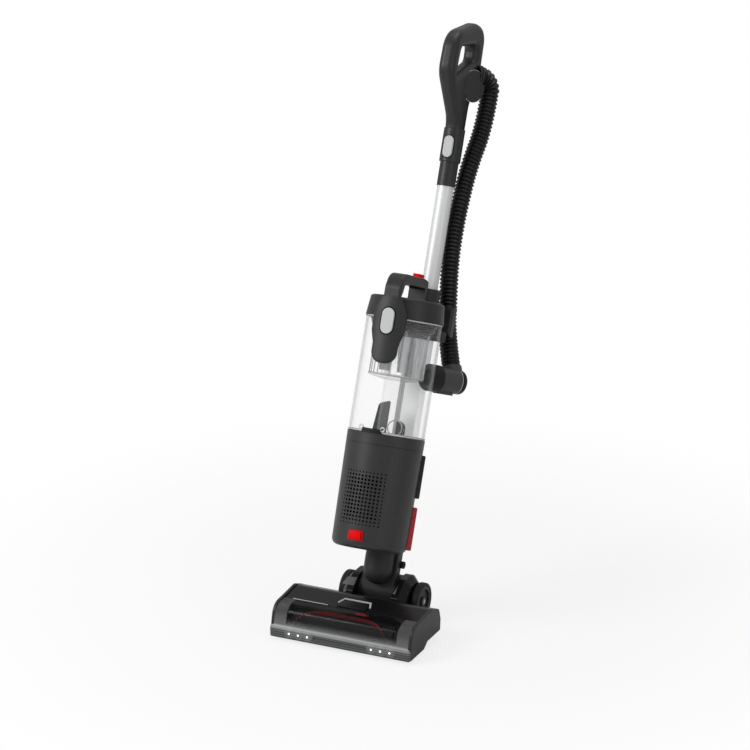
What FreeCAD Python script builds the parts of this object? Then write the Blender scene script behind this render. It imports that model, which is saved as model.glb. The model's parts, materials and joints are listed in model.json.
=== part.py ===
import FreeCAD, Part
import math
import os
from FreeCAD import Placement, Rotation, Vector

# Upright vacuum cleaner, in millimetres. +Z is up, +X is the user's right, -Y is the front.
# The floor head is drawn in place, with the floor at z = 0. Everything above the neck is
# drawn upright in the body frame (x, rearward offset, height) and then leaned back.

# Posture
LEAN = 22.0                # the body leans back from upright, degrees
PIVOT_Y = 75.0             # recline axis
PIVOT_Z = 50.0
PIVOT_OFFSET = 105.0       # recline axis behind the canister axis, in the body frame
PIVOT_HEIGHT = 43.0        # recline axis in the body frame's height

# Clearances
TOUCH_GAP = 0.3            # pieces that pass or face each other
RUNNING_GAP = 0.05         # shaft in a bearing, on radius
WALL = 3.0                 # moulded shells

# Floor head
HEAD_HALF = 145.0          # half of the head's width
SIDE_THICK = 6.0
CAP_WIDTH = 25.0           # ribbed end cap beside the window
BAR_FRONT = -124.0         # front face of the light bar
BAR_BACK = -113.0
BAR_BOTTOM = 5.0
BAR_TOP = 31.0
HOOD_FRONT = -117.0        # foot of the curved hood
HOOD_TOP = 65.5            # height of the hood's rear edge
HOOD_BEND = 27.0
HOOD_SLOPE = 8.0           # how far the hood leans back over its height
SIDE_PROUD = 0.5           # how far the side panels stand out past the hood
COVER_FRONT = -71.5        # where the top cover starts
COVER_CREST = -18.0        # highest line of the top cover
COVER_CREST_TOP = 71.0
HEAD_BACK = 18.0
FLOOR_TOP = 18.0           # top of the chassis floor behind the brush chamber
FLOOR_THICK = 3.0
CHAMBER_BACK = -47.0       # rear wall of the brush chamber
SOLE_BOTTOM = 3.0
SOLE_THICK = 3.0
SLOT_HALF = HEAD_HALF - 27.0   # suction slot in the sole
SLOT_FRONT = -108.0
SLOT_BACK = -52.0
WINDOW_THICK = 2.5
CAP_THICK = 4.0

# Light bar
LED_HEIGHT = 17.3
LED_RADIUS = 2.7
LED_PLACES = (HEAD_HALF - 79.0, HEAD_HALF - 60.0, HEAD_HALF - 41.0)
BOARD_THICK = 1.5
BOARD_HALF = LED_PLACES[-1] + 7.0
GROOVE_HALF = LED_PLACES[0] - 12.0

# Window latch
LATCH_HALF_FRONT = 30.0
LATCH_HALF_BACK = 22.5
LATCH_LENGTH = 24.0
LATCH_THICK = 4.0
LATCH_TRAVEL = 4.0
LATCH_POCKET = 2.0

# Brush roll and its drive
BRUSH_Y = -84.0
BRUSH_Z = 29.5
BRUSH_RADIUS = 20.0
BRISTLE_RADIUS = 27.0
BRUSH_HALF = HEAD_HALF - 35.0
BRISTLE_THICK = 3.0
BRISTLE_MIDDLE = -6.0       # lowest point of the chevron across the brush
BRISTLE_HALF = BRUSH_HALF - 12.0
BRISTLE_START = 86.0       # degrees round the roll at the chevron's middle
BRISTLE_SWEEP = 94.0       # further turn at the ends
STUB_RADIUS = 5.0
BEARING_RADIUS = 11.0
BEARING_WIDTH = 8.0
MOTOR_Y = -16.0
MOTOR_Z = 40.0
BRUSH_MOTOR_RADIUS = 20.0
BRUSH_MOTOR_LENGTH = 105.0
ROLL_PULLEY_RADIUS = 14.0
MOTOR_PULLEY_RADIUS = 6.0
SHAFT_RADIUS = 2.5
BELT_WIDTH = 7.0
BELT_THICK = 1.5

# Rollers, wheels and the recline housing
ROLLER_RADIUS = 6.0
ROLLER_WIDTH = 8.0
ROLLER_Y = -104.0
ROLLER_X = HEAD_HALF - 19.0
PIN_RADIUS = 1.5
WHEEL_Y = 81.5
WHEEL_RADIUS = 36.0
RIM_RADIUS = 28.0
WHEEL_OUTER = 83.0
WHEEL_WIDTH = 14.0
AXLE_RADIUS = 4.0
CHEEK_INNER = 40.0         # inner face of each cheek beside the neck
CHEEK_OUTER = 66.0
CHEEK_SHOULDER = 54.0      # where the cheek's outer slope begins
CHEEK_SLOPE = 12.0
CHEEK_TOP = 84.0
CRADLE_BOTTOM = 9.0
HINGE_PIN_RADIUS = 6.0
HINGE_PIN_DEPTH = 18.0     # length of pin inside the neck
CORE_RADIUS = 33.0

# Neck
COLUMN_OFFSET = 63.0       # column axis behind the canister axis
COLUMN_RADIUS = 28.0
COLUMN_FOOT = 80.0         # centre of the column's round lower end
DUCT_HALF = 34.0
DUCT_FRONT = 72.0
DUCT_BACK = 103.0
GLAND_OFFSET = 92.0
GLAND_HEIGHT = 95.0
GLAND_RADIUS = 7.0
GLAND_BORE = 4.0
GLAND_LENGTH = 12.0
SWIVEL_OFFSET = 51.0       # steering axis behind the canister axis
SWIVEL_RADIUS = 15.0
SWIVEL_HEIGHT = 10.0

# Motor housing
HOUSING_BOTTOM = 118.0
HOUSING_HEIGHT = 218.0
HOUSING_RADIUS = 74.0
HOUSING_FOOT_RADIUS = HOUSING_RADIUS - 3.0
HOUSING_CORNER = 13.0
SEAM_BELOW_TOP = 21.0
GRILLE_COLUMNS = 12
GRILLE_ROWS = 15
GRILLE_PITCH = 7.0
GRILLE_BASE = 46.0         # first row above the housing's bottom
GRILLE_HOLE = 2.4
REAR_COVER_PROUD = 6.0
REAR_COVER_SWEEP = 140.0   # degrees round the back
REAR_PANEL_BASE = 108.0
REAR_PANEL_HEIGHT = 82.0
FILTER_COVER_BASE = 9.0
FILTER_COVER_HEIGHT = 82.0
POWER_HALF = 16.0
POWER_BASE = 15.0
POWER_HEIGHT = 20.0
POWER_TRAVEL = 2.5
BUTTON_PROUD = 1.5
STATOR_RADIUS = 44.0
STATOR_WALL = 9.0
STATOR_BASE = 40.0
STATOR_HEIGHT = 70.0
MOUNT_THICK = 8.0
VENTS = 12
VENT_RADIUS = 5.5
VENT_RING = HOUSING_RADIUS - 16.0
ROTOR_RADIUS = 27.0
FAN_RADIUS = 40.0
FAN_HEIGHT = 12.0
MOTOR_SHAFT_RADIUS = 4.0
DECK_BELOW_TOP = 8.0
DECK_THICK = 4.0
INTAKE_RADIUS = 30.0
FILTER_RADIUS = 60.0
FILTER_HEIGHT = 20.0

# Dust cup
CUP_RADIUS = 72.5
CUP_WALL = 2.5
CUP_HEIGHT = 220.0
DOOR_THICK = 4.0
PORT_RADIUS = 19.0
PORT_HEIGHT = 120.0        # above the cup's bottom
PORT_SIDE = 0.55           # the hose port points to the right and the rear
LID_RADIUS = 74.5
LID_TOP_RADIUS = 70.0
LID_HEIGHT = 39.0
LID_CORNER = 5.5
COLLAR_RADIUS = 63.5
COLLAR_FOOT_RADIUS = 54.0
COLLAR_DROP = 32.0
SHROUD_RADIUS = 50.0
SHROUD_WALL = 2.0
SHROUD_HEIGHT = 76.0
FLUTES = 30
FLUTE_RADIUS = 3.0
RIM_THICK = 9.0
RIM_PLATE_RADIUS = 53.0
TUBE_RADIUS = 20.0
TUBE_WALL = 2.0
CONES = 7
CONE_RING = 29.0
FIN_WIDTH = 28.0
FIN_HEIGHT = 61.0
FIN_THICK = 4.0
FIN_LEFT = -40.5           # the fin stands behind the centre tube
DOME_HALF = 15.0
DOME_HEIGHT = 26.0
DOME_PLACE = 18.0          # to the right of the centre tube's axis
DOME_DEPTH = 16.0
CLIP_HALF = 20.0
CLIP_HEIGHT = 8.0

# Front panel and carry handle
PANEL_THICK = 7.0
PANEL_HALF_TOP = 33.0
PANEL_HALF_BOTTOM = 25.5
PANEL_BELOW_LID = 89.0     # the panel's round lower end, under the lid's lower edge
STRAP_HALF = 17.0
STRAP_DEPTH = 13.0         # strap behind the lid's front
PANEL_EDGE = 4.5
STRAP_THICK = 18.0
BRIDGE_RISE = 44.0         # the bridge's top above the lid's top
FOOT_FRONT = 36.0          # rear foot of the carry handle on the lid
FOOT_BACK = 50.0
PILL_HALF = 12.5
PILL_HEIGHT = 49.0
PILL_ABOVE_CUP = -9.0      # centre of the pill button from the cup's top edge
PILL_TRAVEL = 2.5
PILL_ROOM = 2.5            # width of the well round the pill
FLANGE_THICK = 1.2
LIFT_HALF = 7.0
LIFT_LENGTH = 26.0
LIFT_PROUD = 7.5
LIFT_SUNK = 5.5
LIFT_TRAVEL = 3.0

# Spine, wand socket and hose clip
SPINE_HALF = 22.0
SPINE_FRONT = 76.0
SPINE_BACK = 113.0
SPINE_FOOT = 28.0          # overlap of the spine's foot with the motor housing
SOCKET_RADIUS = 28.0
SOCKET_OFFSET = 81.0
SOCKET_HEIGHT = 28.0
WAND_OFFSET = 95.0
WAND_RADIUS = 16.0
WAND_WALL = 1.0
WAND_DEPTH = 56.0
WAND_BARE = 200.0          # bare length of tube between the socket and the sleeve
CLIP_REACH = 60.0
CLIP_FRONT = 84.0
CLIP_BACK = 105.0
CLIP_LENGTH = 69.0
HOOK_RADIUS = 20.0         # inside of the hook round the hose
HOOK_WALL = 3.0
HOOK_HEIGHT = 24.0
HOOK_BELOW_TOP = 32.0

# Wand top and handle
SLEEVE_RADIUS = 17.8
SLEEVE_LENGTH = 46.5
GRIP_RADIUS = 20.5
GRIP_LENGTH = 65.5
TUBE_SEAT = 6.0            # depth of the tube's seat in the grip
WAND_PILL_HALF = 9.5
WAND_PILL_HEIGHT = 42.0
WAND_PILL_ROOM = 1.8
WAND_PILL_DEPTH = 7.0
HANDLE_HALF = 16.5
HANDLE_NECK_RADIUS = 19.0
HANDLE_HEIGHT = 205.0
HANDLE_WALL = 5.0
HANDLE_EDGE = 12.5

# Hose
HOSE_RADIUS = 18.0
HOSE_GROOVE = 15.6         # radius at the bottom of a groove
HOSE_BORE = 14.0
RIB_PITCH = 7.4
HOSE_PORT_BELOW_TOP = 95.0
HOSE_PORT_OUT = (20.0, 33.0)   # port disc from the wand's axis: sideways and rearward
HOSE_PORT_RADIUS = 20.0
HOSE_PORT_DEPTH = 8.0      # how far the socket reaches into the handle
HOSE_PORT_RIM = 4.0
HOSE_PORT_DIRECTION = (0.6, 0.8)
BOSS_FACE = (24.5, 5.5, -24.0)   # middle of the boss's face from the wand's axis and the port's level
BOSS_DIRECTION = (0.94, -0.34)
BOSS_RADIUS = 31.0
BOSS_DEPTH = 17.0
BOSS_EDGE = 3.0
CUFF_RADIUS = 19.0
CUFF_BEND = 28.0
KNUCKLE_RADIUS = 23.5
KNUCKLE_OUT = 132.0        # hose axis from the canister axis, along the port
ELBOW_END = 153.0
ELBOW_JOINT = 23.0         # length of the black ring outside the cup
ELBOW_CAP = 14.0
INLET_LEAN = 28.0
INLET_LENGTH = 28.0
INLET_RUN = 70.0           # straight part of the hose above the elbow
HOSE_RUN = ((26.0, 39.0, 16.4), (19.5, 32.5, 92.4), (20.5, 30.0, 176.4), (25.5, 37.0, 272.4))
                           # bends from the wand's axis: right, back and above the spine
HOSE_DROP = 66.0           # straight part below the upper cuff

# Levels and places worked out from the sizes above
BOARD_BACK = BAR_BACK - 2.0
BELT_X0 = BRUSH_HALF - 4.0 - BELT_WIDTH
STUB_END = BRUSH_HALF + 8.0 + BEARING_WIDTH
MOTOR_X1 = BELT_X0 - 10.0
MOTOR_X0 = MOTOR_X1 - BRUSH_MOTOR_LENGTH
HOUSING_TOP = HOUSING_BOTTOM + HOUSING_HEIGHT
DECK_TOP = HOUSING_TOP - DECK_BELOW_TOP
CUP_BOTTOM = HOUSING_TOP + TOUCH_GAP
CUP_TOP = CUP_BOTTOM + CUP_HEIGHT
LID_TOP = CUP_TOP + LID_HEIGHT
SHROUD_TOP = CUP_TOP - COLLAR_DROP
SHROUD_FOOT = SHROUD_TOP - SHROUD_HEIGHT
PORT_LEVEL = CUP_BOTTOM + PORT_HEIGHT
PORT_OUT = Vector(PORT_SIDE, math.sqrt(1 - PORT_SIDE ** 2), 0)
SPINE_TOP = LID_TOP + TOUCH_GAP
SOCKET_TOP = SPINE_TOP + SOCKET_HEIGHT
SLEEVE_BASE = SOCKET_TOP + WAND_BARE
GRIP_BASE = SLEEVE_BASE + SLEEVE_LENGTH
HANDLE_BASE = GRIP_BASE + GRIP_LENGTH
HANDLE_TOP = HANDLE_BASE + HANDLE_HEIGHT
X_AXIS = Vector(1, 0, 0)
Y_AXIS = Vector(0, 1, 0)
Z_AXIS = Vector(0, 0, 1)


def box(x0, x1, y0, y1, z0, z1):
    return Part.makeBox(x1 - x0, y1 - y0, z1 - z0, Vector(x0, y0, z0))


def rod(radius, start, direction, length):
    return Part.makeCylinder(radius, length, Vector(*start), Vector(*direction))


def ring(outer, inner, start, direction, length):
    return rod(outer, start, direction, length).cut(rod(inner, start, direction, length))


def rod_x(radius, x0, x1, y, z):
    return rod(radius, (x0, y, z), X_AXIS, x1 - x0)


def ring_x(outer, inner, x0, x1, y, z):
    return ring(outer, inner, (x0, y, z), X_AXIS, x1 - x0)


def mirrored(shape):
    return shape.mirror(Vector(0, 0, 0), X_AXIS)


def pair(shape):
    return Part.makeCompound([shape, mirrored(shape)])


def joined(shapes):
    return shapes[0].fuse(shapes[1:]).removeSplitter()


def outline(corners, place):
    """Closed wire through corners (a, b, radius); place(a, b) gives the point in space."""
    flat = [Vector(a, b, 0) for a, b, _ in corners]
    starts, ends, arcs = [], [], []
    for i, (a, b, radius) in enumerate(corners):
        here = flat[i]
        back = (flat[i - 1] - here).normalize()
        on = (flat[(i + 1) % len(flat)] - here).normalize()
        half = back.getAngle(on) / 2
        start = here + back * (radius / math.tan(half))
        end = here + on * (radius / math.tan(half))
        middle = here + (back + on).normalize() * (radius / math.sin(half) - radius)
        starts.append(place(start.x, start.y))
        ends.append(place(end.x, end.y))
        arcs.append(None if radius == 0 else Part.Arc(starts[-1], place(middle.x, middle.y), ends[-1]))
    edges = []
    for i, arc in enumerate(arcs):
        if ends[i - 1].distanceToPoint(starts[i]) > 1e-6:
            edges.append(Part.makeLine(ends[i - 1], starts[i]))
        if arc:
            edges.append(arc.toShape())
    return Part.Wire(edges)


def side_prism(corners, x0, x1):
    """Solid with a side view of (y, z, radius) corners between two x values."""
    wire = outline(corners, lambda y, z: Vector(x0, y, z))
    return Part.Face(wire).extrude(Vector(x1 - x0, 0, 0))


def front_prism(corners, y0, y1):
    """Solid with a front view of (x, z, radius) corners between two y values."""
    wire = outline(corners, lambda x, z: Vector(x, y0, z))
    return Part.Face(wire).extrude(Vector(0, y1 - y0, 0))


def plan_prism(corners, z0, z1):
    """Solid with a plan of (x, y, radius) corners between two heights."""
    wire = outline(corners, lambda x, y: Vector(x, y, z0))
    return Part.Face(wire).extrude(Vector(0, 0, z1 - z0))


def turned(corners):
    """Solid of revolution about the canister axis from (radius, z, corner) points."""
    wire = outline(corners, lambda r, z: Vector(r, 0, z))
    return Part.Face(wire).revolve(Vector(0, 0, 0), Z_AXIS, 360)


def pill(half, height, centre, y0, y1):
    """Upright pill-shaped prism seen from the front."""
    low, high = centre - height / 2, centre + height / 2
    end = half * 0.999
    return front_prism([(-half, low, end), (half, low, end), (half, high, end), (-half, high, end)], y0, y1)


def sector_shell(inner, outer, z0, z1, sweep):
    """Part of a tube about the canister axis, centred on the rear."""
    shell = Part.makeCylinder(outer, z1 - z0, Vector(0, 0, z0), Z_AXIS, sweep)
    shell = shell.cut(Part.makeCylinder(inner, z1 - z0, Vector(0, 0, z0), Z_AXIS, sweep))
    shell.rotate(Vector(0, 0, 0), Z_AXIS, 90 - sweep / 2)
    return shell


def cover_slope(shape):
    """Lays a piece drawn on a flat cover onto the sloping one, turning about the cover's front edge."""
    rise = math.degrees(math.atan2(COVER_CREST_TOP - HOOD_TOP, COVER_CREST - COVER_FRONT))
    shape.rotate(Vector(0, COVER_FRONT, HOOD_TOP), X_AXIS, rise)
    return shape


def hood_strip(thickness, x0, x1):
    """Curved strip of the hood from the light bar up to the top cover."""
    front, top, bend = HOOD_FRONT, HOOD_TOP, HOOD_BEND
    lip = front + HOOD_SLOPE
    return side_prism([
        (front, BAR_TOP + TOUCH_GAP, 0), (lip, top, bend), (COVER_FRONT - TOUCH_GAP, top, 0),
        (COVER_FRONT - TOUCH_GAP, top - thickness, 0), (lip + thickness, top - thickness, bend - thickness),
        (front + thickness, BAR_TOP + TOUCH_GAP, 0)], x0, x1)


def head_side():
    """Outer side panel, mirrored to both sides."""
    corners = [
        (BAR_FRONT + 4, BAR_BOTTOM, 4), (HOOD_FRONT - SIDE_PROUD, BAR_TOP, 6),
        (HOOD_FRONT + HOOD_SLOPE, HOOD_TOP + SIDE_PROUD, HOOD_BEND), (-66, COVER_CREST_TOP - 2, 30), (COVER_CREST - 2, COVER_CREST_TOP + 2, 20), (12, 60, 8),
        (HEAD_BACK + 1, 38, 8), (HEAD_BACK - 1, FLOOR_TOP - FLOOR_THICK, 3),
        (CHAMBER_BACK + 5, FLOOR_TOP - FLOOR_THICK, 3), (CHAMBER_BACK - 11, BAR_BOTTOM, 3)]
    plate = side_prism(corners, HEAD_HALF - SIDE_THICK, HEAD_HALF)
    rim = [e for e in plate.Edges if e.BoundBox.XMin > HEAD_HALF - 0.01]
    return plate.makeFillet(1.8, rim)


def head_base():
    """Chassis: floor, brush chamber walls and bearing seats."""
    inner = HEAD_HALF - SIDE_THICK - TOUCH_GAP
    under = SOLE_BOTTOM + SOLE_THICK + TOUCH_GAP
    side_wall = side_prism([
        (BAR_BACK + 1, under, 0), (BAR_BACK + 1, BAR_TOP, 0), (-101, 55, 0), (COVER_FRONT, 59, 0),
        (COVER_CREST, 64, 0), (6, 52, 0), (12, 36, 0), (12, FLOOR_TOP - FLOOR_THICK, 0),
        (CHAMBER_BACK, FLOOR_TOP - FLOOR_THICK, 0), (CHAMBER_BACK - 3, under, 0)], inner - 5, inner)
    seat = rod_x(BEARING_RADIUS + WALL, BRUSH_HALF + 8, inner - 4, BRUSH_Y, BRUSH_Z)
    sides = [side_wall, mirrored(side_wall), seat, mirrored(seat)]
    floor = box(-inner, inner, CHAMBER_BACK - 1, 12, FLOOR_TOP - FLOOR_THICK, FLOOR_TOP)
    back = box(-inner, inner, CHAMBER_BACK - 3, CHAMBER_BACK, under, COVER_CREST_TOP - 10)
    cradle = box(MOTOR_X0 + 8, MOTOR_X1 - 8, MOTOR_Y - 12, MOTOR_Y + 12, FLOOR_TOP - 1, MOTOR_Z)
    chassis = joined(sides + [floor, back, cradle])
    belt_gap = box(BELT_X0 - 1, BELT_X0 + BELT_WIDTH + 1, CHAMBER_BACK - 4, CHAMBER_BACK + 1,
                   FLOOR_TOP, COVER_CREST_TOP)
    stubs = rod_x(BEARING_RADIUS, -STUB_END, STUB_END, BRUSH_Y, BRUSH_Z)
    motor = rod_x(BRUSH_MOTOR_RADIUS, MOTOR_X0, MOTOR_X1, MOTOR_Y, MOTOR_Z)
    return chassis.cut([belt_gap, stubs, motor])


def sole_plate():
    """Bottom plate with the suction slot and the pockets of the front rollers."""
    inner = HEAD_HALF - SIDE_THICK - TOUCH_GAP
    low, high = SOLE_BOTTOM, SOLE_BOTTOM + SOLE_THICK
    plate = box(-inner, inner, BAR_BACK + TOUCH_GAP, CHAMBER_BACK - 3, low, high)
    slot = box(-SLOT_HALF, SLOT_HALF, SLOT_FRONT, SLOT_BACK, low, high)
    half = ROLLER_WIDTH / 2 + 1
    reach = ROLLER_RADIUS + 1
    pocket = box(ROLLER_X - half, ROLLER_X + half, ROLLER_Y - reach, ROLLER_Y + reach, low, high)
    boss = box(ROLLER_X - half - 2.5, ROLLER_X - half, ROLLER_Y - 4, ROLLER_Y + 4, low, high + 3)
    outer_boss = box(ROLLER_X + half, ROLLER_X + half + 2.5, ROLLER_Y - 4, ROLLER_Y + 4, low, high + 3)
    bosses = [boss, outer_boss, mirrored(boss), mirrored(outer_boss)]
    pin = roller_pin()
    return joined([plate.cut([slot, pocket, mirrored(pocket)])] + bosses).cut([pin, mirrored(pin)])


def roller_pin():
    half = ROLLER_WIDTH / 2 + 3
    return rod_x(PIN_RADIUS, ROLLER_X - half, ROLLER_X + half, ROLLER_Y, ROLLER_RADIUS)


def roller():
    half = ROLLER_WIDTH / 2
    return ring_x(ROLLER_RADIUS, PIN_RADIUS + RUNNING_GAP, ROLLER_X - half, ROLLER_X + half,
                  ROLLER_Y, ROLLER_RADIUS)


def latch_plan(grow, travel):
    """Trapezoid of the window latch on the cover, grown by a gap and by its travel."""
    front = COVER_FRONT + 2.0 - grow
    back = front + LATCH_LENGTH + travel + 2 * grow
    wide, narrow = LATCH_HALF_FRONT + grow + travel / 4, LATCH_HALF_BACK + grow + travel / 4
    return [(-wide, front, 2), (wide, front, 2), (narrow, back, 3), (-narrow, back, 3)]


def window_latch():
    low = HOOD_TOP - LATCH_POCKET + TOUCH_GAP
    tab = plan_prism(latch_plan(0, 0), low, low + LATCH_THICK)
    top = [e for e in tab.Edges if e.BoundBox.ZMin > low + LATCH_THICK - 0.01]
    return cover_slope(tab.makeFillet(1.0, top))


def top_cover():
    """Cover behind the window, with the sloping pocket of the latch."""
    half = HEAD_HALF - SIDE_THICK - TOUCH_GAP
    t = WALL
    shell = side_prism([
        (COVER_FRONT, HOOD_TOP, 0.5), (COVER_CREST, COVER_CREST_TOP, 30), (12, 60, 8),
        (HEAD_BACK, 38, 8), (HEAD_BACK, FLOOR_TOP - 2, 1), (HEAD_BACK - t, FLOOR_TOP - 2, 1),
        (HEAD_BACK - t, 38, 5), (12 - t, 60 - t, 5), (COVER_CREST, COVER_CREST_TOP - t, 27),
        (COVER_FRONT, HOOD_TOP - t, 0.5)], -half, half)
    pocket = plan_prism(latch_plan(TOUCH_GAP, LATCH_TRAVEL), HOOD_TOP - LATCH_POCKET, HOOD_TOP + 8)
    return shell.cut(cover_slope(pocket))


def light_bar():
    bar = side_prism([
        (BAR_FRONT, BAR_BOTTOM, 3), (BAR_FRONT, BAR_TOP - 6, 5), (HOOD_FRONT - 1, BAR_TOP, 2),
        (BAR_BACK, BAR_TOP, 1), (BAR_BACK, BAR_BOTTOM, 1)], -HEAD_HALF, HEAD_HALF)
    ends = [e for e in bar.Edges
            if abs(e.BoundBox.XMin) > HEAD_HALF - 0.01 and e.BoundBox.YMax < BAR_FRONT + 0.01]
    bar = bar.makeFillet(4.0, ends)
    groove = box(-GROOVE_HALF, GROOVE_HALF, BAR_FRONT, BAR_FRONT + 2, LED_HEIGHT - 2.5, LED_HEIGHT + 2.5)
    pocket = box(-BOARD_HALF - 1, BOARD_HALF + 1, BOARD_BACK - BOARD_THICK, BAR_BACK, LED_HEIGHT - 6, LED_HEIGHT + 6)
    holes = [rod(LED_RADIUS, (x, BAR_FRONT, LED_HEIGHT), Y_AXIS, 8) for x in led_places()]
    notches = [side_panel_body(), mirrored(side_panel_body())]
    return bar.cut([groove, pocket] + holes + notches)


def side_panel_body():
    """Space of a side panel, cut out of what passes it."""
    return box(HEAD_HALF - SIDE_THICK - TOUCH_GAP, HEAD_HALF, BAR_FRONT + 4 - TOUCH_GAP, HEAD_BACK, 0,
               COVER_CREST_TOP)


def led_places():
    return [side * x for side in (-1, 1) for x in LED_PLACES]


def led_strip():
    """Circuit board behind the light bar with a lens for each lamp."""
    start = BAR_FRONT - 0.6
    lenses = [rod(LED_RADIUS, (x, start, LED_HEIGHT), Y_AXIS, BOARD_BACK - BOARD_THICK - start)
              for x in led_places()]
    board = box(-BOARD_HALF, BOARD_HALF, BOARD_BACK - BOARD_THICK, BOARD_BACK, LED_HEIGHT - 5, LED_HEIGHT + 5)
    return Part.makeCompound(lenses + [board])


def brush_roll():
    barrel = rod_x(BRUSH_RADIUS, -BRUSH_HALF, BELT_X0 - 1, BRUSH_Y, BRUSH_Z)
    pulley = rod_x(ROLL_PULLEY_RADIUS, BELT_X0 - 2, BELT_X0 + BELT_WIDTH + 1, BRUSH_Y, BRUSH_Z)
    stub = rod_x(STUB_RADIUS, -STUB_END + 1, STUB_END - 1, BRUSH_Y, BRUSH_Z)
    return joined([barrel, pulley, stub])


def bristle_rows():
    """Two rows of bristles laid as a chevron that winds further round the roll at both ends."""
    inner, outer = BRUSH_RADIUS - 1, BRISTLE_RADIUS
    half_angle = math.degrees(BRISTLE_THICK / 2 / outer)
    steps = 12
    rows = []
    for start in (0, 180):
        wires = []
        for i in range(-steps, steps + 1):
            share = i / steps
            x = BRISTLE_MIDDLE + BRISTLE_HALF * share
            angle = start + BRISTLE_START + BRISTLE_SWEEP * share ** 4
            corners = []
            for radius, turn in ((inner, -1), (outer, -1), (outer, 1), (inner, 1)):
                a = math.radians(angle + turn * half_angle)
                corners.append(Vector(x, BRUSH_Y + radius * math.cos(a), BRUSH_Z + radius * math.sin(a)))
            wires.append(Part.makePolygon(corners + corners[:1]))
        rows.append(Part.makeLoft(wires, True, True))
    core = rod_x(BRUSH_RADIUS, -BRUSH_HALF, BRUSH_HALF, BRUSH_Y, BRUSH_Z)
    return Part.makeCompound([row.cut(core) for row in rows])


def brush_bearings():
    bearing = ring_x(BEARING_RADIUS, STUB_RADIUS + RUNNING_GAP, STUB_END - BEARING_WIDTH, STUB_END,
                     BRUSH_Y, BRUSH_Z)
    return pair(bearing)


def belt_loop(grow):
    """Solid inside the belt's inner face, grown outward."""
    wrap, tight = ROLL_PULLEY_RADIUS + TOUCH_GAP / 2 + grow, MOTOR_PULLEY_RADIUS + TOUCH_GAP / 2 + grow
    run_y, run_z = MOTOR_Y - BRUSH_Y, MOTOR_Z - BRUSH_Z
    run = math.hypot(run_y, run_z)
    tilt = math.atan2(run_z, run_y)
    spread = math.acos((wrap - tight) / run)
    x0, x1 = BELT_X0, BELT_X0 + BELT_WIDTH
    points = []
    for radius, y, z, side in ((wrap, BRUSH_Y, BRUSH_Z, 1), (tight, MOTOR_Y, MOTOR_Z, 1),
                               (tight, MOTOR_Y, MOTOR_Z, -1), (wrap, BRUSH_Y, BRUSH_Z, -1)):
        angle = tilt + side * spread
        points.append(Vector(x0, y + radius * math.cos(angle), z + radius * math.sin(angle)))
    web = Part.Face(Part.makePolygon(points + points[:1])).extrude(Vector(x1 - x0, 0, 0))
    return joined([web, rod_x(wrap, x0, x1, BRUSH_Y, BRUSH_Z), rod_x(tight, x0, x1, MOTOR_Y, MOTOR_Z)])


def drive_belt():
    return belt_loop(BELT_THICK).cut(belt_loop(0))


def brush_motor():
    can = rod_x(BRUSH_MOTOR_RADIUS, MOTOR_X0, MOTOR_X1, MOTOR_Y, MOTOR_Z)
    return can.cut(rod_x(SHAFT_RADIUS + RUNNING_GAP, MOTOR_X1 - 20, MOTOR_X1, MOTOR_Y, MOTOR_Z))


def motor_pulley():
    shaft = rod_x(SHAFT_RADIUS, MOTOR_X1 - 19, BELT_X0 + BELT_WIDTH, MOTOR_Y, MOTOR_Z)
    wheel = rod_x(MOTOR_PULLEY_RADIUS, BELT_X0 - 1, BELT_X0 + BELT_WIDTH, MOTOR_Y, MOTOR_Z)
    return joined([shaft, wheel])


def cheek_outline(inset, x):
    """Side view of a recline cheek, drawn in by an inset, at one x."""
    front, back = HEAD_BACK + TOUCH_GAP + inset, PIVOT_Y + 41 - inset
    low, high = CRADLE_BOTTOM + inset, CHEEK_TOP - inset
    return outline([
        (front, low, 3), (front, 60 - inset, 7), (PIVOT_Y - 22, high, 20), (PIVOT_Y + 24, high, 26),
        (back, PIVOT_Z + 2, 14), (back - 8, low, 10)], lambda y, z: Vector(x, y, z))


def recline_housing():
    """Two rounded cheeks and the cradle that join the neck's pivot to the head."""
    body = Part.Face(cheek_outline(0, CHEEK_INNER)).extrude(Vector(CHEEK_SHOULDER - CHEEK_INNER, 0, 0))
    slope = Part.makeLoft([cheek_outline(0, CHEEK_SHOULDER), cheek_outline(CHEEK_SLOPE, CHEEK_OUTER)],
                          True, True)
    cheek = body.fuse(slope)
    floor_low = FLOOR_TOP - FLOOR_THICK - TOUCH_GAP
    tongue = box(-CHEEK_SHOULDER, CHEEK_SHOULDER, CHAMBER_BACK + 8, HEAD_BACK + 4, CRADLE_BOTTOM, floor_low)
    cradle = box(-CHEEK_INNER, CHEEK_INNER, HEAD_BACK, PIVOT_Y + 30, CRADLE_BOTTOM, floor_low)
    screen = box(-CHEEK_INNER, CHEEK_INNER, HEAD_BACK + TOUCH_GAP, HEAD_BACK + 3, CRADLE_BOTTOM, PIVOT_Z)
    housing = joined([cheek, mirrored(cheek), tongue, cradle, screen])
    pin, axle = hinge_pin(), wheel_axle()
    return housing.cut([pin, mirrored(pin), axle, mirrored(axle)])


def hinge_pin():
    return rod_x(HINGE_PIN_RADIUS, CHEEK_INNER - HINGE_PIN_DEPTH, CHEEK_OUTER - 6, PIVOT_Y, PIVOT_Z)


def wheel_axle():
    return rod_x(AXLE_RADIUS, CHEEK_INNER + 4, WHEEL_OUTER, WHEEL_Y, WHEEL_RADIUS)


def rear_rim():
    """Wheel body with a dished outer face, a hub and rim openings."""
    inner, outer = WHEEL_OUTER - WHEEL_WIDTH, WHEEL_OUTER - 1
    rim = ring_x(RIM_RADIUS, AXLE_RADIUS + RUNNING_GAP, inner, outer, WHEEL_Y, WHEEL_RADIUS)
    dish = ring_x(RIM_RADIUS - 4, 9, outer - 4, outer, WHEEL_Y, WHEEL_RADIUS)
    return rim.cut(dish)


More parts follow.
